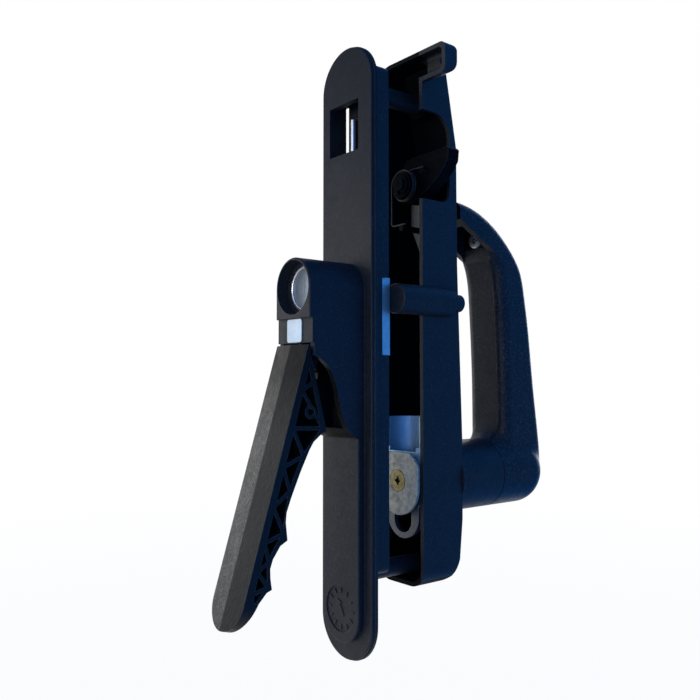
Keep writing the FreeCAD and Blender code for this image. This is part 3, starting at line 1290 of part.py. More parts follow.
def pull_bar():
    x, z = drive_pin_place()
    left = x - PULL_BAR_SHIFT
    h = PULL_BAR_HALF
    outline = [
        (-h, PULL_BAR_BOTTOM), (h, PULL_BAR_BOTTOM), (h, PULL_BAR_BEND_LOW), (left + h, PULL_BAR_BEND_HIGH),
        (left + h, PULL_BAR_TOP), (left - h, PULL_BAR_TOP), (left - h, PULL_BAR_BEND_HIGH),
        (-h, PULL_BAR_BEND_LOW),
    ]
    front = PULL_BAR_FRONT_Y
    back = front + PULL_BAR_THICKNESS
    reach = DRIVE_PIN_RADIUS + PIN_SLOT_PLAY
    slot = box(x - reach - PULL_SLOT_SWEEP, x + reach, front - PAST, back + PAST, z - reach, z + reach)
    bar = prism_y(outline, front, back).cut(slot)
    return bar.cut(rod_y(0, RIVET_Z, RIVET_RADIUS, front - PAST, back + PAST))


def slide_rivet():
    # closed flush in the trough, with its head behind the pull bar
    bar_back = PULL_BAR_FRONT_Y + PULL_BAR_THICKNESS
    shank = rod_y(0, RIVET_Z, RIVET_RADIUS, TROUGH_BACK_Y - TROUGH_SHEET - RIVET_PROUD, bar_back)
    head = rod_y(0, RIVET_Z, RIVET_HEAD_RADIUS, bar_back, bar_back + RIVET_HEAD_HEIGHT)
    return fuse([shank, head])


def cam_plate():
    h = CAM_PLATE_HALF
    c = CAM_PLATE_CHAMFER
    low = HUB_Z - CAM_PLATE_BELOW
    high = HUB_Z + CAM_PLATE_ABOVE
    middle = low + h
    outline = [(h, middle), (h, high - c), (h - c, high), (-h + c, high), (-h, high - c), (-h, middle)]
    back = CAM_PLATE_FRONT_Y + CAM_PLATE_THICKNESS
    plate = prism_y(outline, CAM_PLATE_FRONT_Y, back)
    upright = [e for e in plate.Edges if abs(e.tangentAt(e.FirstParameter).y) > 0.99]
    corners = [e for e in upright if e.BoundBox.ZMin > middle]
    plate = plate.makeFillet(CAM_PLATE_CORNER, corners)
    plate = fuse([plate, rod_y(0, middle, h, CAM_PLATE_FRONT_Y, back)])
    plate = plate.cut(rod_y(0, HUB_Z, CAM_BOLT_RADIUS + SEAT_GAP, 0, BEYOND))
    x, z = crank_place()
    groove_back = CAM_PLATE_FRONT_Y + CAM_PLATE_GROOVE
    plate = plate.cut(rod_y(0, HUB_Z, CAM_BOLT_HEAD_RADIUS + CAM_PLATE_GROOVE, 0, groove_back))
    return plate.cut(cam_bolt_cone()).cut(rod_y(x, z, CRANK_PIN_RADIUS, 0, BEYOND))


def cam_bolt_cone():
    front = V(0, CAM_PLATE_FRONT_Y, HUB_Z)
    return Part.makeCone(CAM_BOLT_HEAD_RADIUS, CAM_BOLT_RADIUS, CAM_BOLT_HEAD_DEPTH, front, AXIS_Y)


def crank_pin():
    x, z = crank_place()
    return rod_y(x, z, CRANK_PIN_RADIUS, CAM_PLATE_FRONT_Y, CRANK_PIN_BACK_Y)


def cam_screw():
    front = CAM_PLATE_FRONT_Y
    shank = rod_y(0, HUB_Z, CAM_BOLT_RADIUS, front, front + CAM_BOLT_LENGTH)
    return fuse([cam_bolt_cone(), shank]).cut(cross_recess(0, HUB_Z, front, -1))


def spindle():
    front = CAM_PLATE_FRONT_Y + CAM_PLATE_THICKNESS
    shaft = rod_y(0, HUB_Z, SPINDLE_RADIUS, front, HANDLE_FRONT_Y + SPINDLE_OVERLAP)
    half = SPINDLE_SQUARE / 2
    square = box(-half, half, HANDLE_FRONT_Y, SPINDLE_BACK_Y, HUB_Z - half, HUB_Z + half)
    body = fuse([shaft, square]).cut(cam_bolt_cone())
    return body.cut(rod_y(0, HUB_Z, CAM_BOLT_RADIUS, 0, CAM_PLATE_FRONT_Y + CAM_BOLT_LENGTH))


def spacer_washer():
    front = CAM_PLATE_FRONT_Y + CAM_PLATE_THICKNESS
    ring = rod_y(0, HUB_Z, SPACER_RADIUS, front, SLIDE_FRONT_Y - 2 * SEAT_GAP)
    return ring.cut(rod_y(0, HUB_Z, SPINDLE_RADIUS, 0, BEYOND))


# Hub and handle
def hub_screw_places():
    places = []
    for angle in HUB_SCREW_ANGLES:
        turn = math.radians(angle)
        places.append((HUB_SCREW_CIRCLE * math.cos(turn), HUB_Z + HUB_SCREW_CIRCLE * math.sin(turn)))
    return places


def hub_housing():
    body = rod_y(0, HUB_Z, HUB_RADIUS, HUB_FRONT_Y, HUB_BACK_Y)
    rim = edges_where(body, lambda b: flat_in_y(b, HUB_BACK_Y))
    body = body.makeFillet(HUB_EDGE_RADIUS, rim)
    body = body.cut(rod_y(0, HUB_Z, SPINDLE_RADIUS + HUB_BORE_GAP, 0, BEYOND))
    body = body.cut(rod_y(0, HUB_Z, BUSH_RADIUS, HUB_BACK_Y - BUSH_LENGTH, BEYOND))
    body = body.cut(rod_y(0, HUB_Z, BUSH_RADIUS, 0, HUB_FRONT_Y + BUSH_LENGTH / 2))
    for x, z in hub_screw_places():
        body = body.cut(rod_y(x, z, HUB_SCREW_RADIUS, 0, HUB_FRONT_Y + HUB_SCREW_LENGTH))
    return body


def hub_bushes():
    bushes = []
    for start in (HUB_FRONT_Y - BUSH_LENGTH / 2, HUB_BACK_Y - BUSH_LENGTH):
        bush = rod_y(0, HUB_Z, BUSH_RADIUS, start, start + BUSH_LENGTH)
        bushes.append(bush.cut(rod_y(0, HUB_Z, SPINDLE_RADIUS + RUNNING_FIT, 0, BEYOND)))
    return group(bushes)


def hub_screws():
    seat = HUB_FRONT_Y - CASE_FLOOR
    face = seat - HUB_SCREW_HEAD_HEIGHT
    screws = []
    for x, z in hub_screw_places():
        shank = rod_y(x, z, HUB_SCREW_RADIUS, seat, HUB_FRONT_Y + HUB_SCREW_LENGTH - HUB_SCREW_SHORT)
        head = rod_y(x, z, HUB_SCREW_HEAD, face, seat)
        screws.append(fuse([shank, head]).cut(head_slot(x, z, face, -1, HUB_SCREW_HEAD + PAST)))
    return group(screws)


def spline_edge(points):
    curve = Part.BSplineCurve()
    curve.interpolate([V(0, y, z) for y, z in points])
    return curve.toShape()


def grip_solid():
    outer = spline_edge(GRIP_OUTER)
    inner = spline_edge(GRIP_INNER)
    end_top = V(0, ARM_END_Y, GRIP_OUTER[-1][1])
    end_low = V(0, ARM_END_Y, ARM_END_LOW_Z)
    inner_low = V(0, GRIP_INNER[0][0], GRIP_INNER[0][1])
    inner_high = V(0, GRIP_INNER[-1][0], GRIP_INNER[-1][1])
    outer_low = V(0, GRIP_OUTER[0][0], GRIP_OUTER[0][1])
    edges = [
        outer, Part.makeLine(end_top, end_low), Part.makeLine(end_low, inner_high), inner,
        Part.makeLine(inner_low, outer_low),
    ]
    wire = Part.Wire(Part.__sortEdges__(edges))
    solid = Part.Face(wire).extrude(V(2 * HANDLE_HALF, 0, 0))
    solid.translate(V(-HANDLE_HALF, 0, 0))
    return solid


def handle_blank():
    grip = grip_solid()
    height = grip.BoundBox.ZLength
    long_edges = edges_where(grip, lambda b: b.XLength < SEAT_GAP and b.ZLength > height / 2)
    grip = grip.makeFillet(HANDLE_SIDE_RADIUS, long_edges)
    knuckle = rod_y(0, HUB_Z, HUB_RADIUS, HANDLE_FRONT_Y, KNUCKLE_BACK_Y)
    rim = edges_where(knuckle, lambda b: flat_in_y(b, KNUCKLE_BACK_Y))
    knuckle = knuckle.makeFillet(KNUCKLE_EDGE_RADIUS, rim)
    body = fuse([grip, knuckle])
    # the two straight edges where the grip's sides run into the knuckle
    seam = edges_where(body, lambda b: b.XLength < SAME and b.ZLength < SAME and b.YLength > PAST)
    return body.makeFillet(KNUCKLE_BLEND_RADIUS, [e for e in seam if abs(e.BoundBox.XMin) > HANDLE_HALF / 2])


def insert_blank(gap):
    # slab that follows the inner outline of the grip
    inner = [(y - INSERT_MARGIN, z) for y, z in GRIP_INNER]
    deep = [(y + INSERT_DEPTH + gap, z) for y, z in GRIP_INNER]
    front = spline_edge(inner)
    back = spline_edge(deep)
    low = Part.makeLine(V(0, inner[0][0], inner[0][1]), V(0, deep[0][0], deep[0][1]))
    high = Part.makeLine(V(0, inner[-1][0], inner[-1][1]), V(0, deep[-1][0], deep[-1][1]))
    wire = Part.Wire(Part.__sortEdges__([front, high, back, low]))
    half = INSERT_HALF + gap
    slab = Part.Face(wire).extrude(V(2 * half, 0, 0))
    slab.translate(V(-half, 0, 0))
    return slab.common(box(-half, half, ARM_END_Y, BEYOND, INSERT_BOTTOM - gap, INSERT_TOP + gap))


def pocket():
    # hollow under the arm, open toward the door, whose end wall carries the screw
    return prism_x(POCKET_OUTLINE, -POCKET_HALF, POCKET_HALF)


def handle_shell():
    body = handle_blank()
    body = body.cut(insert_blank(SEAT_GAP))
    body = body.cut(pocket())
    front = HANDLE_FRONT_Y - PAST
    half = SPINDLE_SQUARE / 2
    body = body.cut(box(-half, half, front, SPINDLE_BACK_Y, HUB_Z - half, HUB_Z + half))
    shaft_end = HANDLE_FRONT_Y + SPINDLE_OVERLAP
    body = body.cut(rod_y(0, HUB_Z, SPINDLE_RADIUS + SEAT_GAP, front, shaft_end))
    screw_end = POCKET_BACK_Y + HANDLE_SCREW_LENGTH
    return body.cut(rod_y(0, HANDLE_SCREW_Z, HANDLE_SCREW_RADIUS, ARM_END_Y, screw_end))


def handle_insert():
    return insert_blank(0).common(handle_blank())


def handle_screw():
    face = POCKET_BACK_Y - HANDLE_HEAD_HEIGHT
    tip = POCKET_BACK_Y + HANDLE_SCREW_LENGTH - HANDLE_SCREW_SHORT
    head = rod_y(0, HANDLE_SCREW_Z, HANDLE_HEAD_RADIUS, face, POCKET_BACK_Y)
    rim = edges_where(head, lambda b: flat_in_y(b, face))
    shank = rod_y(0, HANDLE_SCREW_Z, HANDLE_SCREW_RADIUS, face, tip)
    screw = fuse([head.makeFillet(HANDLE_HEAD_EDGE, rim), shank])
    return screw.cut(cross_recess(0, HANDLE_SCREW_Z, face, -1))


PIECES = {
    "outer_plate": outer_plate,
    "door_spigot": door_spigot,
    "screw_pillars": screw_pillars,
    "outer_lever": outer_lever,
    "lever_pin": lever_pin,
    "lever_spring": lever_spring,
    "barrel_body": barrel_body,
    "barrel_ring": barrel_ring,
    "barrel_plug": barrel_plug,
    "key_shutter": key_shutter,
    "barrel_plate": barrel_plate,
    "barrel_plate_screws": barrel_plate_screws,
    "barrel_cam": barrel_cam,
    "barrel_cam_screw": barrel_cam_screw,
    "blank_label": blank_label,
    "outer_slider": outer_slider,
    "slider_rod": slider_rod,
    "slider_keeper": slider_keeper,
    "keeper_screws": keeper_screws,
    "inner_case": inner_case,
    "side_post": side_post,
    "screw_sleeves": screw_sleeves,
    "post_screw": post_screw,
    "through_screws": through_screws,
    "thread_inserts": thread_inserts,
    "latch_hook": latch_hook,
    "hook_pin": hook_pin,
    "hook_clip": hook_clip,
    "hook_drive_pin": hook_drive_pin,
    "hook_spring": hook_spring,
    "drive_slide": drive_slide,
    "pull_bar": pull_bar,
    "slide_rivet": slide_rivet,
    "cam_plate": cam_plate,
    "crank_pin": crank_pin,
    "cam_screw": cam_screw,
    "spindle": spindle,
    "spacer_washer": spacer_washer,
    "hub_housing": hub_housing,
    "hub_bushes": hub_bushes,
    "hub_screws": hub_screws,
    "handle_shell": handle_shell,
    "handle_insert": handle_insert,
    "handle_screw": handle_screw,
}

for name, make in PIECES.items():
    shape = make()
    solids = len(shape.Solids)
    print(name, "solids", solids, "valid", shape.isValid(), "volume", round(shape.Volume / 1000, 2), "cm3")
    shape.exportStep("parts/" + name + ".step")
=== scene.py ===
import json
import math

import bpy
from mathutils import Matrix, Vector

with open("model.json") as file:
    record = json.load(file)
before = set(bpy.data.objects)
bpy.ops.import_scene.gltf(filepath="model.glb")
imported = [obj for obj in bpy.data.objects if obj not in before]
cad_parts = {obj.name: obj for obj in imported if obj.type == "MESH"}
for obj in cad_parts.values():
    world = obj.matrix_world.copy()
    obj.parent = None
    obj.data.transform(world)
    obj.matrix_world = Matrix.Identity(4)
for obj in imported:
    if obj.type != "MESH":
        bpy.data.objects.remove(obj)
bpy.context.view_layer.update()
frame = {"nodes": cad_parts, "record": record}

scene = bpy.context.scene
scene.view_settings.view_transform = "Standard"
MM = 0.001


# Materials
class Tree:
    """The node tree of a material or world, built line by line."""

    def __init__(self, owner):
        owner.use_nodes = True
        self.owner = owner
        self.nodes = owner.node_tree.nodes
        self.links = owner.node_tree.links
        self.nodes.clear()

    def put(self, socket, value):
        if isinstance(value, bpy.types.NodeSocket):
            self.links.new(value, socket)
        else:
            socket.default_value = value

    def add(self, kind, inputs=None, **settings):
        node = self.nodes.new(kind)
        for key, value in settings.items():
            setattr(node, key, value)
        for key, value in (inputs or {}).items():
            self.put(node.inputs[key], value)
        return node

    def noise(self, where, scale, detail=2.0, roughness=0.5):
        return self.add(
            "ShaderNodeTexNoise", {"Vector": where, "Scale": scale, "Detail": detail, "Roughness": roughness}
        ).outputs["Fac"]

    def ramp(self, value, low, high, out_low=0.0, out_high=1.0):
        return self.add(
            "ShaderNodeMapRange",
            {"Value": value, "From Min": low, "From Max": high, "To Min": out_low, "To Max": out_high},
        ).outputs["Result"]

    def math(self, operation, a, b):
        return self.add("ShaderNodeMath", {0: a, 1: b}, operation=operation).outputs[0]

    def times(self, a, b):
        return self.math("MULTIPLY", a, b)

    def axis(self, vector, letter):
        return self.add("ShaderNodeSeparateXYZ", {0: vector}).outputs[letter]

    def mix(self, factor, a, b):
        node = self.add("ShaderNodeMix", data_type="RGBA")
        self.put(node.inputs["Factor"], factor)
        self.put(node.inputs[6], a)
        self.put(node.inputs[7], b)
        return node.outputs[2]

    def place(self):
        return self.add("ShaderNodeTexCoord").outputs["Object"]

    def normal(self):
        return self.add("ShaderNodeNewGeometry").outputs["Normal"]

    def edge_mask(self, radius):
        # 1 on edges: where a rounded copy of the surface turns away from the real one
        soft = self.add("ShaderNodeBevel", {"Radius": radius}, samples=4).outputs["Normal"]
        dot = self.add("ShaderNodeVectorMath", {0: soft, 1: self.normal()}, operation="DOT_PRODUCT")
        return soft, self.ramp(dot.outputs["Value"], 0.985, 0.80)

    def bumps(self, strength, depth, height, soft):
        return self.add(
            "ShaderNodeBump", {"Strength": strength, "Distance": depth, "Height": height, "Normal": soft}
        ).outputs["Normal"]

    def surface(self, colour, roughness, normal, specular, metallic=0.0):
        shader = self.add("ShaderNodeBsdfPrincipled", {
            "Base Color": colour, "Metallic": metallic, "Roughness": roughness, "Normal": normal,
            "Specular IOR Level": specular,
        })
        self.add("ShaderNodeOutputMaterial", {"Surface": shader.outputs[0]})
        return self.owner


def grey(value, blue=0.0):
    return (value, value * (1 + blue * 0.5), value * (1 + blue), 1.0)


def brighter(colour, share):
    return [min(1.0, c * share) for c in colour[:3]] + [1.0]


# How fine the patterns are, per metre, and how far edges and bumps reach
CLOUD_SCALE = 45.0
SMUDGE_SCALE = 160.0
MOULD_SCALE = 1100.0
COARSE_SHARE = 0.3
CAST_SCALE = 1300.0
SCRATCH_SCALE = 1200.0
SCRATCH_STRETCH = 0.06
PLASTIC_EDGE = 0.3 * MM
PLASTIC_BUMP = 0.12 * MM
METAL_EDGE = 0.25 * MM
METAL_BUMP = 0.08 * MM
# Colour of edges lightened by rubbing and as painted edge highlight
EDGE_LIFT_GREY = grey(0.14, 0.15)
# The X over which the painted shade on the half with positive X sets in
RIDGE_FAR = -0.3 * MM
RIDGE_NEAR = 0.6 * MM


def plastic(
    name, base, speck, roughness=0.5, grain=0.4, grain_scale=MOULD_SCALE, specular=0.22, edge_lift=0.35,
    fade=None, shaded_half=None, painted_shade_inside=None, painted_shade_rim=None,
):
    """Moulded plastic: cloudy base, light specks that are the grain of a spark-eroded mould and its painted
    sparkle, smudges, and edges lightened by rubbing and as painted edge highlight.

    fade gives two heights, and the shares of the specks and of the shine that are left at the first: painted
    shade.
    shaded_half is the share of the specks left on the half with positive X, which shines less too: painted
    shade on that half.
    painted_shade_inside is the X, to either side, between which the piece is darkened as painted shade, as
    the photograph shows it.
    painted_shade_rim gives two Y and two Z between which faces that look to the front are darkened in the
    same way, as painted shade.
    """
    t = Tree(bpy.data.materials.new(name))
    where = t.place()
    fine = t.noise(where, grain_scale, 2.0, 0.5)
    coarse = t.noise(where, grain_scale * COARSE_SHARE, 2.0)
    cloud = t.noise(where, CLOUD_SCALE, 4.0, 0.6)
    smudge = t.noise(where, SMUDGE_SCALE, 5.0, 0.7)
    soft, edge = t.edge_mask(PLASTIC_EDGE)
    colour = t.mix(t.ramp(cloud, 0.35, 0.7), base, brighter(base, 1.4))
    share = t.times(t.ramp(fine, 0.50, 0.68), t.ramp(coarse, 0.35, 0.6, 0.45, 1.0))
    # Painted shade towards the first height of fade: fewer light specks and less shine
    if fade:
        first, full, speck_left, shine_left = fade
        level = t.axis(where, "Z")
        share = t.times(share, t.ramp(level, first, full, speck_left, 1.0))
        specular = t.ramp(level, first, full, specular * shine_left, specular)
    # Painted shade on the half with positive X: fewer light specks and less shine
    if shaded_half:
        side = t.axis(where, "X")
        share = t.times(share, t.ramp(side, RIDGE_FAR, RIDGE_NEAR, 1.0, shaded_half))
        specular = t.times(specular, t.ramp(side, RIDGE_FAR, RIDGE_NEAR, 1.0, 0.7))
    # Light specks: the grain of the mould, and painted sparkle
    colour = t.mix(share, colour, speck)
    # Edges lightened by rubbing and as painted edge highlight
    rubbed_and_highlit = t.times(edge, t.ramp(smudge, 0.35, 0.6, 0.25 * edge_lift, edge_lift))
    colour = t.mix(rubbed_and_highlit, colour, EDGE_LIFT_GREY)
    # Painted shade: near-black navy and little shine inside the case
    if painted_shade_inside:
        across = t.axis(where, "X")
        near = t.math("LESS_THAN", across, painted_shade_inside)
        far = t.math("GREATER_THAN", across, -painted_shade_inside)
        inside = t.times(near, far)
        colour = t.mix(inside, colour, grey(0.0015, 1.5))
        specular = t.ramp(inside, 0.0, 1.0, specular, specular * 0.15)
    # Painted shade: faces that look to the front inside the box turn near black and lose their shine
    if painted_shade_rim:
        rim_shade = t.times(t.ramp(t.axis(t.normal(), "Y"), -0.2, -0.6), 0.85)
        for letter, low, high in (("Y", *painted_shade_rim[:2]), ("Z", *painted_shade_rim[2:])):
            value = t.axis(where, letter)
            rim_shade = t.times(rim_shade, t.ramp(value, low - MM, low + MM))
            rim_shade = t.times(rim_shade, t.ramp(value, high + MM, high - MM))
        colour = t.mix(rim_shade, colour, grey(0.001, 1.0))
        specular = t.times(specular, t.math("SUBTRACT", 1.0, rim_shade))
    rough = t.ramp(smudge, 0.3, 0.75, roughness - 0.06, roughness + 0.1)
    height = t.math("ADD", fine, t.times(coarse, 1.4))
    return t.surface(colour, rough, t.bumps(grain, PLASTIC_BUMP, height, soft), specular)


def metal(
    name, base, dark, roughness, blotch, metallic=0.9, scratches=0.3, grain=0.15, shine=1.6, specular=0.5,
    sparkle=0.35, foot=None, painted_shade_front=None,
):
    """Plated, cast or coated metal: patches, fine scratches along the piece, painted sparkle, and rubbed
    edges with painted highlight.

    foot gives a colour for the lower part and the two heights between which it gives way: painted shade.
    painted_shade_front is the Y ahead of which the piece is black as painted shade, since the photograph
    shows nothing bright there.
    """
    t = Tree(bpy.data.materials.new(name))
    where = t.place()
    patch = t.noise(where, blotch, 5.0, 0.65)
    fine = t.noise(where, CAST_SCALE, 3.0, 0.6)
    stretched = t.add("ShaderNodeMapping", {"Vector": where, "Scale": (1.0, 1.0, SCRATCH_STRETCH)})
    lines = t.noise(stretched.outputs[0], SCRATCH_SCALE, 3.0, 0.7)
    soft, edge = t.edge_mask(METAL_EDGE)
    # shine: how much lighter than the base the painted sparkle, the scratches and the painted edge highlight
    # are
    bright = brighter(base, shine)
    colour = t.mix(t.ramp(patch, 0.32, 0.68), dark, base)
    # Painted shade: a darker colour towards the lower end
    if foot:
        low_colour, low, high = foot
        colour = t.mix(t.ramp(t.axis(where, "Z"), low, high), low_colour, colour)
    # Fine grains as painted sparkle, then lighter scratches, then edges lighter as rubbing and as painted
    # edge highlight
    colour = t.mix(t.ramp(fine, 0.52, 0.72, 0.0, sparkle), colour, bright)
    colour = t.mix(t.ramp(lines, 0.55, 0.8, 0.0, scratches), colour, bright)
    colour = t.mix(t.times(edge, 0.7), colour, bright)
    # Painted shade: black, with little shine, ahead of the given Y
    if painted_shade_front:
        black = t.ramp(t.axis(where, "Y"), painted_shade_front, painted_shade_front - MM)
        colour = t.mix(black, colour, grey(0.006))
        metallic = t.times(t.math("SUBTRACT", 1.0, black), metallic)
        specular = t.ramp(black, 0.0, 1.0, specular, specular * 0.2)
    rough = t.ramp(patch, 0.3, 0.7, roughness + 0.12, roughness - 0.05)
    normal = t.bumps(grain, METAL_BUMP, t.math("ADD", fine, lines), soft)
    return t.surface(colour, rough, normal, specular, metallic)


# The slight blue in BLACK and PLATE_BLACK is a small painted share of the navy sheen
BLACK = (0.0065, 0.0072, 0.0088, 1.0)
PLATE_BLACK = (0.0062, 0.0078, 0.0105, 1.0)
WARM_GREY = (0.013, 0.012, 0.011, 1.0)
PAPER = (0.64, 0.67, 0.57, 1.0)
ZINC = (0.44, 0.46, 0.45, 1.0)
ZINC_DARK = (0.33, 0.36, 0.37, 1.0)
BRASS = (0.23, 0.19, 0.085, 1.0)
BRASS_DARK = (0.14, 0.115, 0.052, 1.0)
CAM = (0.44, 0.43, 0.36, 1.0)
CAM_DARK = (0.25, 0.245, 0.20, 1.0)
# SLIDE and SLIDE_DARK: galvanised steel coloured with a painted blue sheen
SLIDE = (0.27, 0.43, 0.58, 1.0)
SLIDE_DARK = (0.25, 0.40, 0.55, 1.0)

# Looks of the record's materials
LOOKS = {
    "black_plastic": plastic("black_plastic_look", BLACK, grey(0.02), specular=0.2),
    "grey_plastic": plastic(
        "grey_plastic_look", WARM_GREY, grey(0.03), roughness=0.6, grain=0.3, specular=0.15
    ),
    "white_nylon": plastic(
        "white_nylon_look", grey(0.7), grey(0.75), grain=0.1, grain_scale=900.0, specular=0.4, edge_lift=0.1
    ),
    "label_white": plastic(
        "label_look", PAPER, grey(0.72), roughness=0.45, grain=0.05, grain_scale=900.0,
        specular=0.4, edge_lift=0.1,
    ),
    # Near black and matt: a dark coated steel, darkened further as painted shade; with shine 40 its
    # lightened edges and grains are painted glints
    "dark_steel": metal(
        "dark_steel_look", grey(0.002, 0.5), grey(0.0012, 0.5), 0.6, 260.0,
        metallic=0.0, scratches=0.02, shine=40.0, specular=0.02, sparkle=0.05,
    ),
    "cast_zinc": metal(
        "cast_zinc_look", grey(0.22), grey(0.13), 0.5, 220.0, metallic=0.75, scratches=0.15, grain=0.4
    ),
    "galvanised": metal("galvanised_look", ZINC, ZINC_DARK, 0.36, 120.0, shine=1.4),
    "steel": metal("steel_look", grey(0.3), grey(0.2), 0.34, 300.0),
    "spring_steel": metal("spring_steel_look", grey(0.03), grey(0.02), 0.4, 500.0, shine=3.0, sparkle=0.2),
    "bright_trim": metal("bright_trim_look", grey(0.75), grey(0.6), 0.2, 400.0),
    "brass": metal("brass_look", BRASS, BRASS_DARK, 0.4, 400.0),
}

# Looks of single pieces: a plate and a lever face with painted shade and less shine towards their tops and
# painted shade on one half of the lever, a grainier handle, a rough cam plate, a painted blue sheen on the
# slide, and places given painted shade after the photograph
# Where painted shade goes: inside the case, on the plate and the lever face towards their tops, on the rims
# round the lever's housing and the handle's pocket, on the slide's lower end and on the slider's tab
CASE_INSIDE = 14.4 * MM
PLATE_FADE = (140 * MM, -20 * MM, 0.25, 0.35)
LEVER_FADE = (-12 * MM, -40 * MM, 0.12, 0.4)
HOUSING_RIM = (-24 * MM, -8 * MM, -46 * MM, -7 * MM)
POCKET_RIM = (50 * MM, 100 * MM, 58 * MM, 90 * MM)
SLIDE_FOOT = (grey(0.1), -70 * MM, -56 * MM)
TAB_FRONT = -4 * MM
PLUG = metal(
    "plug_look", grey(0.25, 0.35), grey(0.20, 0.35), 0.35, 200.0,
    metallic=0.8, scratches=0.05, grain=0.1, sparkle=0.1,
)
OWN_LOOKS = {
    "outer_plate": plastic(
        "plate_look", PLATE_BLACK, grey(0.02), specular=0.19, fade=PLATE_FADE, painted_shade_rim=HOUSING_RIM
    ),
    # The lever's edges are lightened strongly: rubbing, and a bright painted edge highlight
    "outer_lever": plastic(
        "lever_look", grey(0.005), grey(0.06), roughness=0.42, grain=0.9, grain_scale=1000.0,
        specular=0.21, edge_lift=0.8, fade=LEVER_FADE, shaded_half=0.05,
    ),
    "handle_shell": plastic(
        "handle_look", BLACK, grey(0.035), roughness=0.42, grain=0.6, grain_scale=900.0,
        specular=0.15, edge_lift=0.3, painted_shade_rim=POCKET_RIM,
    ),
    "inner_case": plastic("case_look", BLACK, grey(0.02), specular=0.2, painted_shade_inside=CASE_INSIDE),
    "cam_plate": metal("cam_plate_look", CAM, CAM_DARK, 0.6, 400.0, metallic=0.6, scratches=0.1, grain=0.8),
    "barrel_plug": PLUG,
    "key_shutter": PLUG,
    "drive_slide": metal(
        "slide_look", SLIDE, SLIDE_DARK, 0.45, 120.0,
        metallic=0.75, scratches=0.05, grain=0.1, shine=1.2, sparkle=0.1, foot=SLIDE_FOOT,
    ),
    "outer_slider": metal(
        "slider_look", ZINC, ZINC_DARK, 0.36, 120.0, shine=1.4, painted_shade_front=TAB_FRONT
    ),
    "slider_rod": metal("rod_look", grey(0.8, 0.15), grey(0.6, 0.15), 0.3, 300.0),
}
slots = {s["node"]: s["material_slot"] for s in frame["record"]["subparts"]}
for name, piece in frame["nodes"].items():
    for place in piece.material_slots:
        place.material = OWN_LOOKS.get(name, LOOKS[slots[name]])


# Camera at the photograph's place
AZIMUTH = math.radians(51.47)
ELEVATION = math.radians(-2.24)
CAMERA_PLACE = (0.28729, -0.22974, -0.01462)
SENSOR_WIDTH = 36.0
LENS = 39.77
camera_data = bpy.data.cameras.new("camera")
camera_data.sensor_width = SENSOR_WIDTH
camera_data.lens = LENS
camera = bpy.data.objects.new("camera", camera_data)
camera.location = CAMERA_PLACE
outward = Vector((
    math.sin(AZIMUTH) * math.cos(ELEVATION), -math.cos(AZIMUTH) * math.cos(ELEVATION), math.sin(ELEVATION),
))
camera.rotation_euler = (-outward).to_track_quat("-Z", "Y").to_euler()
scene.collection.objects.link(camera)
scene.camera = camera


# Studio: name, place, width and height, watts and colour of each lamp
LAMPS = (
    ("key", (-1.2, -0.35, 0.1), (0.8, 0.8), 4.0, (1.0, 0.99, 0.96)),
    ("front", (-0.05, -1.4, -0.15), (0.9, 0.7), 14.0, (1.0, 0.99, 0.97)),
    ("edge", (0.8, -1.0, 0.05), (0.3, 0.5), 1.2, (0.95, 0.97, 1.0)),
    ("back", (-0.5, 1.3, 0.3), (0.9, 0.9), 8.0, (1.0, 1.0, 1.0)),
)
WHITE = (1.0, 1.0, 1.0, 1.0)
WORLD_BLUE = (0.14, 0.36, 1.0, 1.0)
WORLD_STRENGTH = 0.35
CARD_BLUE = (0.04, 0.30, 1.0, 1.0)
CARD_STRENGTH = 1.15
FLOOR_GREY = (0.8, 0.8, 0.8, 1.0)


def area_lamp(name, location, size, watts, colour):
    """A rectangular lamp that is aimed at the frame's origin."""
    data = bpy.data.lights.new(name, "AREA")
    data.shape = "RECTANGLE"
    data.size, data.size_y = size
    data.energy = watts
    data.color = colour
    lamp = bpy.data.objects.new(name, data)
    lamp.location = location
    lamp.rotation_euler = (-Vector(location)).to_track_quat("-Z", "Y").to_euler()
    scene.collection.objects.link(lamp)


for lamp in LAMPS:
    area_lamp(*lamp)


def seen_directly(tree):
    """1 for rays that look at the background straight, in a mirror or through glass."""
    path = tree.add("ShaderNodeLightPath").outputs
    mirror = tree.math("MAXIMUM", path["Is Glossy Ray"], path["Is Transmission Ray"])
    return tree.math("MAXIMUM", path["Is Camera Ray"], mirror)


world = bpy.data.worlds.new("world")
scene.world = world
t = Tree(world)
plain = t.add("ShaderNodeBackground", {"Color": WORLD_BLUE, "Strength": WORLD_STRENGTH})
white = t.add("ShaderNodeBackground", {"Color": WHITE, "Strength": 1.0})
both = t.add("ShaderNodeMixShader", {0: seen_directly(t), 1: plain.outputs[0], 2: white.outputs[0]})
t.add("ShaderNodeOutputWorld", {"Surface": both.outputs[0]})


def stage_mesh(name, points, faces, build):
    """A floor or card of the studio, with a material that build makes in its tree."""
    mesh = bpy.data.meshes.new(name)
    mesh.from_pydata(points, [], faces)
    piece = bpy.data.objects.new(name, mesh)
    scene.collection.objects.link(piece)
    look = bpy.data.materials.new(name + "_look")
    build(Tree(look))
    mesh.materials.append(look)
    return piece


# The floor keeps its shadow near the part and fades to plain white between these distances
FADE_START = 0.3
FADE_END = 0.9
NEAR_SHARE = 0.95


def floor_tree(t):
    shader = t.add("ShaderNodeBsdfDiffuse", {"Color": FLOOR_GREY})
    glow = t.add("ShaderNodeEmission", {"Color": WHITE, "Strength": 1.0})
    spot = t.add("ShaderNodeVectorMath", {0: t.place()}, operation="LENGTH").outputs["Value"]
    share = t.times(seen_directly(t), t.ramp(spot, FADE_START, FADE_END, NEAR_SHARE, 1.0))
    both = t.add("ShaderNodeMixShader", {0: share, 1: shader.outputs[0], 2: glow.outputs[0]})
    t.add("ShaderNodeOutputMaterial", {"Surface": both.outputs[0]})


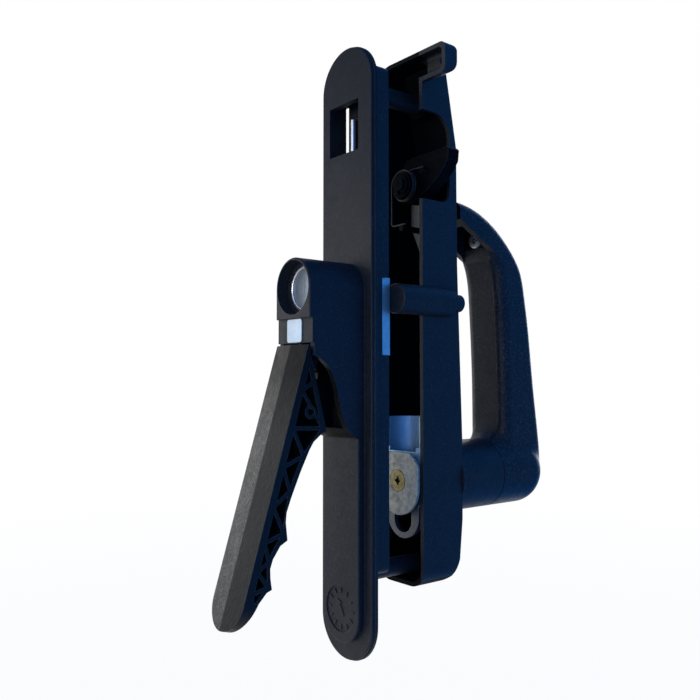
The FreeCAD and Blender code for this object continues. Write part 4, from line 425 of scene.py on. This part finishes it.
def card_tree(t):
    glow = t.add("ShaderNodeEmission", {"Color": CARD_BLUE, "Strength": CARD_STRENGTH})
    t.add("ShaderNodeOutputMaterial", {"Surface": glow.outputs[0]})


REACH = 6.0
FLOOR_Z = -0.2
stage_mesh("floor", [
    (-REACH, -REACH, FLOOR_Z), (REACH, -REACH, FLOOR_Z), (REACH, REACH, FLOOR_Z), (-REACH, REACH, FLOOR_Z),
], [(0, 1, 2, 3)], floor_tree)

# Blue card: part of a dome on the closing edge's side, and its top all the way round, in degrees. The
# photograph's navy sheen on black plastic comes from it
CARD_RADIUS = 1.8
CARD_STEP = 10
CARD_SIDE = (-60, 100)
CARD_BOTTOM = -5
CARD_TOP = 40
CARD_END = 85


def on_dome(turn, rise):
    a = math.radians(turn)
    e = math.radians(rise)
    flat = CARD_RADIUS * math.cos(e)
    return (flat * math.cos(a), flat * math.sin(a), CARD_RADIUS * math.sin(e))


points = []
faces = []
for low in range(CARD_BOTTOM, CARD_END, CARD_STEP):
    for turn in range(0, 360, CARD_STEP):
        side = turn if turn <= 180 else turn - 360
        if low < CARD_TOP and not CARD_SIDE[0] <= side < CARD_SIDE[1]:
            continue
        corner = len(points)
        for right, up in ((0, 0), (CARD_STEP, 0), (CARD_STEP, CARD_STEP), (0, CARD_STEP)):
            points.append(on_dome(turn + right, low + up))
        faces.append((corner, corner + 1, corner + 2, corner + 3))
card = stage_mesh("card", points, faces, card_tree)
card.visible_camera = False

# The same blue on the floor, for what the low side faces mirror: camera and diffuse rays pass it
LOW_CARD_INNER = 0.1
points = []
for turn in range(CARD_SIDE[0], CARD_SIDE[1] + CARD_STEP, CARD_STEP):
    for reach in (LOW_CARD_INNER, CARD_RADIUS):
        side = math.radians(turn)
        points.append((reach * math.cos(side), reach * math.sin(side), FLOOR_Z + MM))
faces = [(i, i + 1, i + 3, i + 2) for i in range(0, len(points) - 2, 2)]
low_card = stage_mesh("low_card", points, faces, card_tree)
low_card.visible_camera = False
low_card.visible_diffuse = False
low_card.visible_shadow = False
